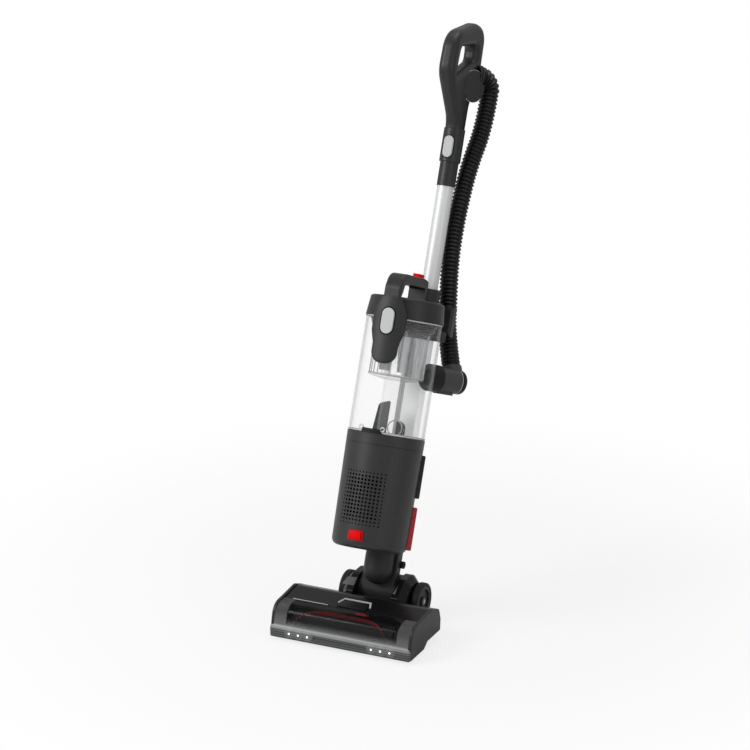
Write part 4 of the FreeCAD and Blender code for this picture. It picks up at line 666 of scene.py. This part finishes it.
# Painted reflections and painted glow on the shroud, and on the cones with lighter streaks.
FLUTED_CLEAR = StreakedClear("fluted_clear")
CONE_CLEAR = StreakedClear("cone_clear", dark=(0.5, 0.505, 0.51), alpha=0.04)
TUBE_SILVER = BrushedMetal("silver_tube", (0.8, 0.805, 0.81), roughness=0.42, metallic=0.2)
BRIGHT_TRIM = BrushedMetal("bright_trim", (0.66, 0.67, 0.68), roughness=0.35, metallic=0.3)
STEEL = BrushedMetal("turned_steel", (0.5, 0.51, 0.52), roughness=0.3)
WINDING = BrushedMetal("motor_iron", (0.03, 0.03, 0.032), roughness=0.5, metallic=0.7)
FELT = SoftFibre("filter_felt", (0.75, 0.75, 0.72))
RED_NYLON = SoftFibre("red_nylon", (1.0, 0.012, 0.014))
LENS = LitLens("lamp_lens", LAMP_PLACES, LAMP_LEVEL)
END_CAP = RibbedPlastic(
    "ribbed_end_cap", (0.042, 0.042, 0.044), (0.24, 0.243, 0.246), axis_rear=-0.085,
    axis_height=0.03)
LAMP_BAR = LampBar("lamp_bar", (0.045, 0.046, 0.048), (0.46, 0.47, 0.48), LAMP_PLACES, LAMP_LEVEL)

Finish = (MouldedPlastic | BandedPlastic | RibbedPlastic | LampBar | ClearPlastic
          | StreakedClear | BrushedMetal | SoftFibre | LitLens)


@dataclass
class Dresser:
    """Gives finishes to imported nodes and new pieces, and keeps each material once."""

    nodes: dict[str, bpy.types.Object]
    sharp_angle: float = math.radians(35)
    materials: dict[str, Material] = field(default_factory=dict)

    def material(self, finish: Finish) -> Material:
        """Material of a finish, built when it is first asked for."""
        if finish.name not in self.materials:
            self.materials[finish.name] = finish.material()
        return self.materials[finish.name]

    def dress(self, finish: Finish, *names: str) -> None:
        """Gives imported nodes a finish.

        Args:
            finish: The finish.
            names: The nodes' names.
        """
        for name in names:
            mesh = self.nodes[name].data
            mesh.materials.clear()
            mesh.materials.append(self.material(finish))
            LOG.info("dressed %s in %s", name, finish.name)

    def piece(self, name: str, shape: BMesh, finish: Finish, body: Body | None,
              place: Matrix = IN_PLACE, smooth: bool = True) -> bpy.types.Object:
        """Turns a shape into a piece that rides on a body.

        Args:
            name: Name of the piece.
            shape: Its shape, freed here.
            finish: Its finish.
            body: The body it rides on, or none where it bends between two.
            place: Where it goes in the row frame.
            smooth: Whether its faces are shaded smooth up to sharp edges.

        Returns:
            The new object, with its place in its mesh.
        """
        bmesh.ops.transform(shape, matrix=place, verts=shape.verts)
        bmesh.ops.recalc_face_normals(shape, faces=shape.faces)
        mesh = bpy.data.meshes.new(name)
        shape.to_mesh(mesh)
        shape.free()
        piece = bpy.data.objects.new(name, mesh)
        bpy.context.scene.collection.objects.link(piece)
        mesh.materials.append(self.material(finish))
        if smooth:
            mesh.shade_smooth()
            mesh.set_sharp_from_angle(angle=self.sharp_angle)
        if body:
            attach(piece, body.value)
        LOG.info("made %s", name)
        return piece


def rounded(shape: BMesh, radius: float, segments: int = 2, steepest: float = -1.0) -> BMesh:
    """Rounds a shape's edges.

    Args:
        shape: The shape.
        radius: Radius of the edges.
        segments: Facets round an edge.
        steepest: Angle between faces, in radians, over which an edge counts.

    Returns:
        The same shape.
    """
    edges = [edge for edge in shape.edges if edge.calc_face_angle(0) > steepest]
    bmesh.ops.bevel(shape, geom=edges, offset=radius, segments=segments, profile=0.5,
                    affect="EDGES", material=-1)
    return shape


def block(size: Point, bevel: float) -> BMesh:
    """Box about the origin with rounded edges.

    Args:
        size: Its three sides.
        bevel: Radius of its edges.

    Returns:
        The shape.
    """
    shape = bmesh.new()
    bmesh.ops.create_cube(shape, size=1.0)
    bmesh.ops.scale(shape, vec=size, verts=shape.verts)
    return rounded(shape, bevel, 3)


def spun(profile: Outline, steps: int) -> BMesh:
    """Solid turned about Z from a closed (radius, height) outline.

    Args:
        profile: Corners of the outline.
        steps: Facets round it.

    Returns:
        The shape.
    """
    shape = bmesh.new()
    corners = [shape.verts.new((radius, 0, height)) for radius, height in profile]
    face = shape.faces.new(corners)
    bmesh.ops.spin(shape, geom=[face, *face.edges, *corners], cent=(0, 0, 0), axis=(0, 0, 1),
                   angle=2 * math.pi, steps=steps, use_merge=True, use_duplicate=False)
    inner = [f for f in shape.faces if len(f.verts) == len(profile) and len(profile) > 4]
    bmesh.ops.delete(shape, geom=inner, context="FACES_ONLY")
    bmesh.ops.remove_doubles(shape, verts=shape.verts, dist=1e-6)
    return shape


def bead(radius: float, thickness: float, steps: int = 96) -> BMesh:
    """Round ring about Z: a small circle spun round.

    Args:
        radius: Radius of its centreline.
        thickness: Radius of its section.
        steps: Facets round the ring.

    Returns:
        The shape.
    """
    shape = bmesh.new()
    circle = bmesh.ops.create_circle(shape, segments=BEAD_SIDES, radius=thickness,
                                     matrix=Matrix.Translation((radius, 0, 0)) @ UPRIGHT)["verts"]
    edges = list({edge for vert in circle for edge in vert.link_edges})
    bmesh.ops.spin(shape, geom=circle + edges, cent=(0, 0, 0), axis=(0, 0, 1),
                   angle=2 * math.pi, steps=steps, use_merge=True)
    return shape


def plate(corners: Outline, thickness: float, bevel: float) -> BMesh:
    """Flat plate in the XY plane, centred on it, from its outline.

    Args:
        corners: Outline in order.
        thickness: Its thickness.
        bevel: Radius of its edges.

    Returns:
        The shape.
    """
    shape = bmesh.new()
    face = shape.faces.new([shape.verts.new((x, y, -thickness / 2)) for x, y in corners])
    raised = bmesh.ops.extrude_face_region(shape, geom=[face])
    top = [item for item in raised["geom"] if isinstance(item, bmesh.types.BMVert)]
    bmesh.ops.translate(shape, vec=(0, 0, thickness), verts=top)
    return rounded(shape, bevel)


def bar_along(points: list[Vector], width: float, bevel: float) -> BMesh:
    """Square bar laid along points, mitred at its corners.

    Args:
        points: Its centreline.
        width: Side of its section.
        bevel: Radius of its edges.

    Returns:
        The shape.
    """
    sharpest_mitre, crease = 0.3, 0.5
    shape = bmesh.new()
    loops = []
    ways = [(after - before).normalized() for before, after in zip(points, points[1:])]
    for point, back, on in zip(points, [ways[0], *ways], [*ways, ways[-1]]):
        along = (back + on).normalized()
        stretch = 1.0 / max(sharpest_mitre, along.dot(on))
        side = along.cross(UP).normalized()
        up = side.cross(along)
        ring = [point + side * (sx * width / 2 * stretch) + up * (sy * width / 2)
                for sx, sy in ((-1, -1), (1, -1), (1, 1), (-1, 1))]
        verts = [shape.verts.new(corner) for corner in ring]
        loops.append([shape.edges.new((verts[k], verts[(k + 1) % 4])) for k in range(4)])
    for first, second in zip(loops, loops[1:]):
        bmesh.ops.bridge_loops(shape, edges=first + second)
    for loop in (loops[0], loops[-1]):
        bmesh.ops.contextual_create(shape, geom=loop)
    return rounded(shape, bevel, steepest=crease)


def shade_ring(half: float, height: float, width: float, surface: float) -> BMesh:
    """Flat dark ring, a painted shadow in the room round an upright pill button, bent to a round
    surface.

    Args:
        half: Half the width of the ring's centreline.
        height: Height of its centreline.
        width: Side of its section.
        surface: Radius of the surface it lies in.

    Returns:
        The shape, upright along Y and facing Z.
    """
    edge_share, flatness = 0.08, 0.45
    points = []
    for start, rise in ((0, height / 2 - half), (180, half - height / 2)):
        for angle in range(start, start + 181, 15):
            turn = math.radians(angle)
            points.append(Vector((half * math.cos(turn), rise + half * math.sin(turn), 0)))
    shape = bar_along([*points, points[0]], width, width * edge_share)
    for vert in shape.verts:
        drop = surface - math.sqrt(surface ** 2 - vert.co.x ** 2)
        vert.co.z = vert.co.z * flatness - drop
    return shape


def ribbed_skin(points: list[Vector], pitch: float, groove: float, radius: float) -> BMesh:
    """Skin of a ribbed hose along a line: circles of changing radius, bridged.

    Args:
        points: The line.
        pitch: Distance from rib to rib.
        groove: Radius between the ribs.
        radius: Radius on the ribs.

    Returns:
        The shape.
    """
    rib = ((0.0, 0.0), (0.18, 0.55), (0.34, 1.0), (0.6, 1.0), (0.78, 0.55), (0.94, 0.0))
    steps = [after - before for before, after in zip(points, points[1:])]
    spans, ways = [step.length for step in steps], [step.normalized() for step in steps]
    total = sum(spans)
    count = round(total / pitch)
    stations = [((i + share) * total / count, groove + (radius - groove) * rise)
                for i in range(count) for share, rise in rib]
    stations.append((total, groove))
    shape = bmesh.new()
    loops = []
    span, passed = 0, 0.0
    for distance, size in stations:
        while span < len(spans) - 1 and passed + spans[span] < distance:
            passed += spans[span]
            span += 1
        share = (distance - passed) / spans[span]
        beside = ways[min(max(span + (1 if share >= 0.5 else -1), 0), len(ways) - 1)]
        along = ways[span].lerp(beside, abs(share - 0.5)).normalized()
        across = (ACROSS - along * along.x).normalized()
        frame = Matrix((across, along.cross(across), along)).transposed().to_4x4()
        centre = Matrix.Translation(points[span].lerp(points[span + 1], share))
        circle = bmesh.ops.create_circle(shape, segments=HOSE_SIDES, radius=size,
                                         matrix=centre @ frame)["verts"]
        loops.append(list({edge for vert in circle for edge in vert.link_edges}))
    for first, second in zip(loops, loops[1:]):
        bmesh.ops.bridge_loops(shape, edges=first + second)
    return shape


@dataclass
class FloorHead:
    """Floor head with its lamps, window, brush, cover and wheels, in metres from its own axes.

    Each trim line is a name, a width, a bevel, a lift off the cover and its points, and each
    facet is a side, a place and an outline.
    """

    dresser: Dresser
    cover_front: Pair = (-0.0715, 0.0655)
    cover_crest: Pair = (-0.018, 0.071)
    trims: tuple[tuple[str, float, float, float, Outline], ...] = (
        # The cover's edge line is a painted highlight, on its left part only.
        ("cover_edge_highlight", 0.0013, 0.0003, 0.0002, ((-0.121, -0.0709), (-0.048, -0.0709))),
        ("latch_bracket", 0.0032, 0.0004, 0.00032,
         ((-0.0325, -0.056), (-0.0265, -0.039), (0.0265, -0.039), (0.0325, -0.056))))
    catch_size: Point = (0.026, 0.005, 0.002)
    catch_place: Point = (0.026, -0.0765, 0.0612)
    brush_middle: Point = (-0.006, -0.084, 0.0295)
    bristle_foot: float = 0.019
    bristle_tip: float = 0.027
    bristle_radii: Pair = (0.0007, 0.001)
    bristle_half: float = 0.098
    bristle_start: float = 86.0
    bristle_sweep: float = 94.0
    tufts: int = 23
    wheel_face: Point = (0.082, 0.0815, 0.036)
    wheel_highlight_ring: Pair = (0.0272, 0.0007)
    wheel_highlight_cap: Outline = ((0.0, -0.003), (0.0075, -0.003), (0.0075, -0.0008), (0.006, 0.0004),
                          (0.0, 0.0007))
    facet_slope: float = math.atan2(0.024, 0.0347)
    facet_thickness: float = 0.0006
    facets: tuple[tuple[str, Point, Outline], ...] = (
        ("left", (-0.0525, 0.0345, 0.0717),
         ((-0.0125, -0.007), (0.0115, -0.007), (0.0115, 0.012), (-0.008, 0.01))),
        ("right", (0.0445, 0.0345, 0.0717), ((-0.003, -0.01), (0.002, -0.01), (0.001, 0.01))))

    def on_cover(self, across: float, rear: float, lift: float) -> Vector:
        """Point to the right, rearward in the head and above the sloping cover's surface."""
        (front, low), (crest, high) = self.cover_front, self.cover_crest
        return in_head(across, rear, low + (rear - front) * (high - low) / (crest - front) + lift)

    def build(self) -> None:
        """Dresses the nodes and adds the trim, the tufts, and the painted highlights on the wheels
        and cheeks.
        """
        dress = self.dresser.dress
        dress(CHARCOAL, "head_base", "sole_plate", "rim_left", "rim_right")
        dress(PIANO_BLACK, "top_cover", "window_latch", "recline_housing")
        dress(SATIN_CHARCOAL, "side_panels")
        dress(END_CAP, "end_caps")
        dress(SMOKE, "brush_window")
        dress(LAMP_BAR, "light_bar")
        dress(LENS, "led_strip")
        dress(SOFT_BLACK, "brush_roll")
        dress(STEEL, "brush_bearings", "steel_pins", "motor_pulley")
        dress(TYRE_BLACK, "drive_belt", "roller_left", "roller_right", "tyre_left", "tyre_right")
        dress(WINDING, "brush_motor")
        self.add_trim()
        self.add_tufts()
        self.add_wheel_highlights()
        self.add_cheek_highlights()

    def add_trim(self) -> None:
        """Painted highlight along the left of the cover's front edge, bracket round the latch, and
        the catch.
        """
        piece = self.dresser.piece
        for name, width, bevel, lift, line in self.trims:
            path = [self.on_cover(across, rear, lift) for across, rear in line]
            piece(name, bar_along(path, width, bevel), PALE_GREY, Body.HEAD)
        piece("window_catch", block(self.catch_size, bevel=0.0005), SIGNAL_RED, Body.HEAD,
              Matrix.Translation(in_head(*self.catch_place)))

    def add_tufts(self) -> None:
        """Nylon tufts set in two curved rows round the brush roll."""
        shape = bmesh.new()
        length = self.bristle_tip - self.bristle_foot
        axis = in_head(*self.brush_middle)
        for row in (0.0, 180.0):
            for step in range(-self.tufts, self.tufts + 1):
                share = step / self.tufts
                angle = math.radians(self.bristle_start + row + self.bristle_sweep * share ** 4)
                outward = Vector((0, math.cos(angle), math.sin(angle)))
                middle = axis + outward * (self.bristle_foot + length / 2)
                middle.x += self.bristle_half * share
                bmesh.ops.create_cone(shape, segments=7, radius1=self.bristle_radii[0],
                                      radius2=self.bristle_radii[1], depth=length, cap_ends=True,
                                      matrix=Matrix.Translation(middle) @ facing(outward))
        tufts = self.dresser.piece("bristle_tufts", shape, RED_NYLON, Body.BRUSH, smooth=False)
        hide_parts("bristle_rows")

    def add_wheel_highlights(self) -> None:
        """Grey ring and hub cap on the outer face of each rear wheel, painted highlights."""
        across, rear, height = self.wheel_face
        for word, side, body in (("left", -1, Body.LEFT_WHEEL), ("right", 1, Body.RIGHT_WHEEL)):
            place = (Matrix.Translation(in_head(side * across, rear, height))
                     @ Matrix.Rotation(side * math.pi / 2, 4, "Y"))
            for name, shape in (("wheel_highlight_ring", bead(*self.wheel_highlight_ring)),
                                ("wheel_highlight_cap", spun(self.wheel_highlight_cap, steps=48))):
                self.dresser.piece(f"{name}_{word}", shape, HIGHLIGHT_GREY, body, place)

    def add_cheek_highlights(self) -> None:
        """Painted highlights: pale facets on the front slopes of the two cheeks."""
        slope = Matrix.Rotation(self.facet_slope, 4, "X")
        for word, place, outline in self.facets:
            self.dresser.piece(f"cheek_facet_highlight_{word}", plate(outline, self.facet_thickness, 0.0001),
                               HIGHLIGHT_GREY, Body.HEAD, Matrix.Translation(in_head(*place)) @ slope)


@dataclass
class Canister:
    """Neck, motor housing, spine, elbow and clip behind the cup."""

    dresser: Dresser
    port_side: float = 0.55
    port_level: float = 0.4563
    ring_out: float = 0.139
    ring: Pair = (0.0233, 0.0006)
    tab_size: Point = (0.004, 0.006, 0.005)
    tab_place: Point = (0.027, 0.0845, 0.5905)
    key_place: Point = (0, -0.074, 0.143)
    key_outline: Outline = ((-0.0125, -0.0068), (0.0125, -0.0068), (0.0105, 0.0068),
                            (-0.0105, 0.0068))
    key_thickness: float = 0.0012

    def build(self) -> None:
        """Dresses the nodes and adds the elbow's ring, the clip's tab and the raised key."""
        dress, piece = self.dresser.dress, self.dresser.piece
        dress(CHARCOAL, "neck_duct", "neck_column", "rear_panel", "motor_deck", "wand_socket")
        dress(HOUSING, "motor_housing")
        dress(SOFT_BLACK, "cord_gland", "elbow_ends", "motor_mount")
        dress(KNUCKLE_GREY, "elbow_knuckle")
        dress(SATIN_CHARCOAL, "hose_clip")
        dress(DUCT_GREY, "spine")
        dress(TINTED_RED, "filter_cover")
        dress(SHADED_KEY_RED, "power_button")
        dress(WINDING, "motor_stator", "fan_rotor")
        dress(FELT, "filters")
        outward = Vector((self.port_side, math.sqrt(1 - self.port_side ** 2), 0))
        across, rear, _ = outward * self.ring_out
        piece("elbow_bright_ring", bead(*self.ring), BRIGHT_TRIM, Body.CANISTER,
              on_body(across, rear, self.port_level) @ facing(outward))
        piece("clip_tab", block(self.tab_size, bevel=0.0006), DARK_RED, Body.CANISTER,
              on_body(*self.tab_place))
        piece("power_raised", plate(self.key_outline, self.key_thickness, bevel=0.0003),
              SIGNAL_RED, Body.POWER_KEY, on_body(*self.key_place) @ UPRIGHT)


@dataclass
class Cup:
    """Clear dust cup with its cyclone, lid, panel and buttons.

    A bead is a name, a level, a radius and a thickness, a painted well shadow is half a width, a
    height, a width of ring and its surface's radius, and the stem is a radius, a foot and a head.
    """

    dresser: Dresser
    beads: tuple[tuple[str, float, float, float], ...] = (
        ("cup_top_bead", 0.5541, 0.0728, 0.0014), ("cup_foot_bead", 0.3381, 0.0723, 0.0016),
        ("shroud_foot_bead", 0.4483, 0.0515, 0.0015))
    dome: Point = (0.018, -0.008, 0.3513)
    dome_arc: Pair = (0.0146, 0.0011)
    stem: Point = (0.0023, 0.34254, 0.4453)
    well_shade: tuple[float, ...] = (0.01375, 0.0515, 0.0022, 0.0815)
    well_shade_place: Point = (0, -0.0809, 0.5473)
    ear: Pair = (0.0038, 0.0013)
    ear_place: Point = (0.0215, -0.0735, 0.3448)

    def build(self) -> None:
        """Dresses the nodes and adds the beads, the stem, the painted shadow round the button and
        the ears.
        """
        dress, piece = self.dresser.dress, self.dresser.piece
        dress(CLEAR, "dust_cup")
        dress(CLEAR_DOOR, "cup_door")
        dress(FROSTED, "centre_tube")
        dress(FLUTED_CLEAR, "cyclone_shroud")
        dress(CONE_CLEAR, "cyclone_cones")
        dress(COLLAR_BLACK, "cyclone_collar")
        dress(SOFT_BLACK, "door_clip", "cup_fin")
        dress(SATIN_CHARCOAL, "cup_lid", "front_panel")
        dress(BUTTON_GREY, "cup_button")
        dress(SIGNAL_RED, "lift_button")
        for name, level, radius, thickness in self.beads:
            piece(name, bead(radius, thickness), CLEAR_TRIM, Body.CUP, on_body(0, 0, level))
        piece("dome_arc", bead(*self.dome_arc, steps=64), CLEAR_TRIM, Body.CUP,
              on_body(*self.dome) @ UPRIGHT)
        radius, foot, head = self.stem
        stem = spun(((0.0, foot), (radius, foot), (radius, head), (0.0, head)), steps=32)
        across, rear, _ = self.dome
        piece("dome_stem", stem, STEM, Body.CUP, on_body(across, rear, 0))
        piece("cup_well_shadow", shade_ring(*self.well_shade), PAINTED_WELL_SHADOW, Body.CUP,
              on_body(*self.well_shade_place) @ UPRIGHT)
        across, rear, level = self.ear_place
        for word, side in (("left", -1), ("right", 1)):
            piece(f"clip_ear_{word}", bead(*self.ear, steps=40), CLEAR_TRIM, Body.CUP,
                  on_body(side * across, rear, level) @ UPRIGHT)


@dataclass
class Wand:
    """Wand tube, grip and finger-loop handle with the ribbed start of the hose.

    The button's painted shadow is given like the cup's; the ribs are a pitch, a groove and a
    radius.
    """

    dresser: Dresser
    well_shade: tuple[float, ...] = (0.0104, 0.0438, 0.0015, 0.0205)
    well_shade_place: Point = (0, 0.0749, 0.89885)
    port: Point = (0.02, 0.128, 1.0456)
    port_direction: Pair = (0.6, 0.8)
    bend: float = 0.028
    bend_steps: int = 40
    ribs: Point = (0.0073, 0.016, 0.0186)
    boss: Point = (0.0245, 0.1005, 1.0216)
    boss_direction: Pair = (0.94, -0.34)
    rim: Pair = (0.0309, 0.0006)
    rim_depth: float = 0.0028

    def cuff_line(self) -> list[Vector]:
        """Points of the quarter bend from the port down to the hose.

        Returns:
            The points in the row frame.
        """
        start, out = Vector(self.port), Vector((*self.port_direction, 0))
        turns = [math.pi / 2 * i / self.bend_steps for i in range(self.bend_steps + 1)]
        return [BODY_FRAME @ (start + out * (self.bend * math.sin(turn))
                              - UP * (self.bend * (1 - math.cos(turn)))) for turn in turns]

    def build(self) -> None:
        """Dresses the nodes and adds the button's painted shadow, the ribbed cuff and the boss's
        rim.
        """
        dress, piece = self.dresser.dress, self.dresser.piece
        dress(TUBE_SILVER, "wand_tube")
        dress(SATIN_CHARCOAL, "wand_grip", "handle_left", "handle_right", "hose_port")
        dress(WAND_BUTTON_GREY, "wand_button")
        piece("wand_well_shadow", shade_ring(*self.well_shade), PAINTED_WELL_SHADOW, Body.WAND,
              on_body(*self.well_shade_place) @ UPRIGHT)
        cuff = piece("ribbed_cuff", ribbed_skin(self.cuff_line(), *self.ribs), HOSE_BLACK,
                     Body.WAND)
        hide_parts("hose_cuff")
        place = (on_body(*self.boss) @ facing(Vector((*self.boss_direction, 0)))
                 @ Matrix.Translation((0, 0, -self.rim_depth)))
        piece("boss_rim", bead(*self.rim), BRIGHT_TRIM, Body.WAND, place)


@dataclass
class Hose:
    """Ribbed hose from the elbow behind the cup up to the handle."""

    dresser: Dresser
    route: tuple[Point, ...] = (
        (0.06162, 0.11747, 0.48102), (0.03418, 0.13555, 0.54283), (0.026, 0.134, 0.612),
        (0.0195, 0.1275, 0.688), (0.0205, 0.125, 0.772), (0.0255, 0.132, 0.868),
        (0.0368, 0.1504, 0.9516), (0.0368, 0.1504, 1.0176))
    length: float = 0.5474
    pitch: float = 0.0075
    groove: float = 0.0156
    radius: float = 0.018

    def centreline(self) -> list[Vector]:
        """Points of the smooth line through the hose, read from its spline.

        Returns:
            The points in the row frame.
        """
        curve = bpy.data.curves.new("hose_route", "CURVE")
        curve.dimensions = "3D"
        curve.resolution_u = 24
        spline = curve.splines.new("NURBS")
        spline.points.add(len(self.route) - 1)
        for point, place in zip(spline.points, self.route):
            point.co = (*in_body(*place), 1.0)
        spline.order_u = 3
        spline.use_endpoint_u = True
        carrier = bpy.data.objects.new("hose_route", curve)
        mesh = bpy.data.meshes.new_from_object(carrier)
        points = [vertex.co.copy() for vertex in mesh.vertices]
        bpy.data.objects.remove(carrier)
        bpy.data.curves.remove(curve)
        bpy.data.meshes.remove(mesh)
        return points

    def build(self) -> None:
        points = self.centreline()
        skin = self.dresser.piece("ribbed_hose",
                                  ribbed_skin(points, self.pitch, self.groove, self.radius),
                                  HOSE_BLACK, None)
        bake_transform(skin)
        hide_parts("hose")


@dataclass
class Studio:
    """Pale floor, soft light and the camera."""

    azimuth: float = math.radians(24.9)
    elevation: float = math.radians(19.5)
    camera_place: Point = (2.3144844, -5.1432519, 2.4439541)
    lens: float = 150.576
    sensor: float = 36.0
    floor_size: float = 12.0
    floor_near: float = 0.35
    floor_far: float = 1.1
    world_gain: float = 0.336
    gloss_gain: float = 0.21
    lamp_target: Point = (0, -0.05, 0.45)
    lamps: tuple[tuple[str, Point, float, float], ...] = (
        ("key", (-2.0, -2.0, 2.2), 1.5, 56.0), ("fill", (2.4, -1.2, 1.4), 1.4, 7.0),
        ("top", (0.2, 0.6, 3.0), 1.5, 20.0))

    def build_camera(self) -> None:
        """Places the camera, to the front right and looking down a little."""
        data = bpy.data.cameras.new("camera")
        data.lens, data.sensor_width, data.clip_end = self.lens, self.sensor, 100.0
        camera = bpy.data.objects.new("camera", data)
        bpy.context.scene.collection.objects.link(camera)
        camera.location = self.camera_place
        camera.rotation_euler = (math.pi / 2 - self.elevation, 0.0, self.azimuth)
        bpy.context.scene.camera = camera

    def build_world(self) -> None:
        """Makes the surroundings white where they are seen, and softer as light."""
        world = bpy.data.worlds.new("surroundings")
        bpy.context.scene.world = world
        tree = Tree("surroundings", world)
        path = tree.add("ShaderNodeLightPath", {}).outputs
        seen, through, glossy = (Signal(tree, path[name]) for name in
                                 ("Is Camera Ray", "Is Transmission Ray", "Is Glossy Ray"))
        level = ((seen + through) * (1.0 - self.world_gain) + glossy * self.gloss_gain
                 + self.world_gain)
        tree.end("ShaderNodeOutputWorld",
                 tree.out("ShaderNodeBackground", {"Color": (1, 1, 1, 1), "Strength": level}))

    def build_floor(self) -> None:
        """Pale floor that keeps the object's shadow and looks white to the camera."""
        bpy.ops.mesh.primitive_plane_add(size=self.floor_size)
        floor = bpy.context.active_object
        floor.name = "floor"
        tree = Tree("floor_white")
        diffuse = tree.out("ShaderNodeBsdfDiffuse", {"Color": (0.9, 0.9, 0.9, 1)})
        white = tree.out("ShaderNodeEmission", {"Color": (1, 1, 1, 1), "Strength": 1.0})
        seen = tree.out("ShaderNodeLightPath", {}, "Is Camera Ray")
        distance = tree.out("ShaderNodeVectorMath", {0: tree.place()}, "Value", operation="LENGTH")
        share = distance.rising(self.floor_near, self.floor_far) * 0.22 + 0.78
        shader = tree.out("ShaderNodeMixShader", {0: seen * share, 1: diffuse, 2: white})
        floor.data.materials.append(tree.end("ShaderNodeOutputMaterial", shader))

    def build_lamps(self) -> None:
        """Large soft lamps: a key at the front left, a fill at the right and one above."""
        for name, place, size, power in self.lamps:
            data = bpy.data.lights.new(name, "AREA")
            data.size, data.energy = size, power
            lamp = bpy.data.objects.new(name, data)
            bpy.context.scene.collection.objects.link(lamp)
            lamp.location = place
            aim = Vector(self.lamp_target) - lamp.location
            lamp.rotation_euler = aim.to_track_quat("-Z", "Y").to_euler()

    def build(self) -> None:
        """Builds the whole studio."""
        self.build_camera()
        self.build_world()
        self.build_floor()
        self.build_lamps()


def main() -> None:
    """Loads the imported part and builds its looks."""
    logging.basicConfig(level=logging.INFO, format="%(name)s: %(message)s")
    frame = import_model()
    dresser = Dresser(frame["nodes"])
    for assembly in (Hose, FloorHead, Canister, Cup, Wand):
        assembly(dresser).build()
    Studio().build()
    bpy.context.scene.view_settings.view_transform = "Standard"
    bpy.context.view_layer.update()


if __name__ == "__main__":
    main()
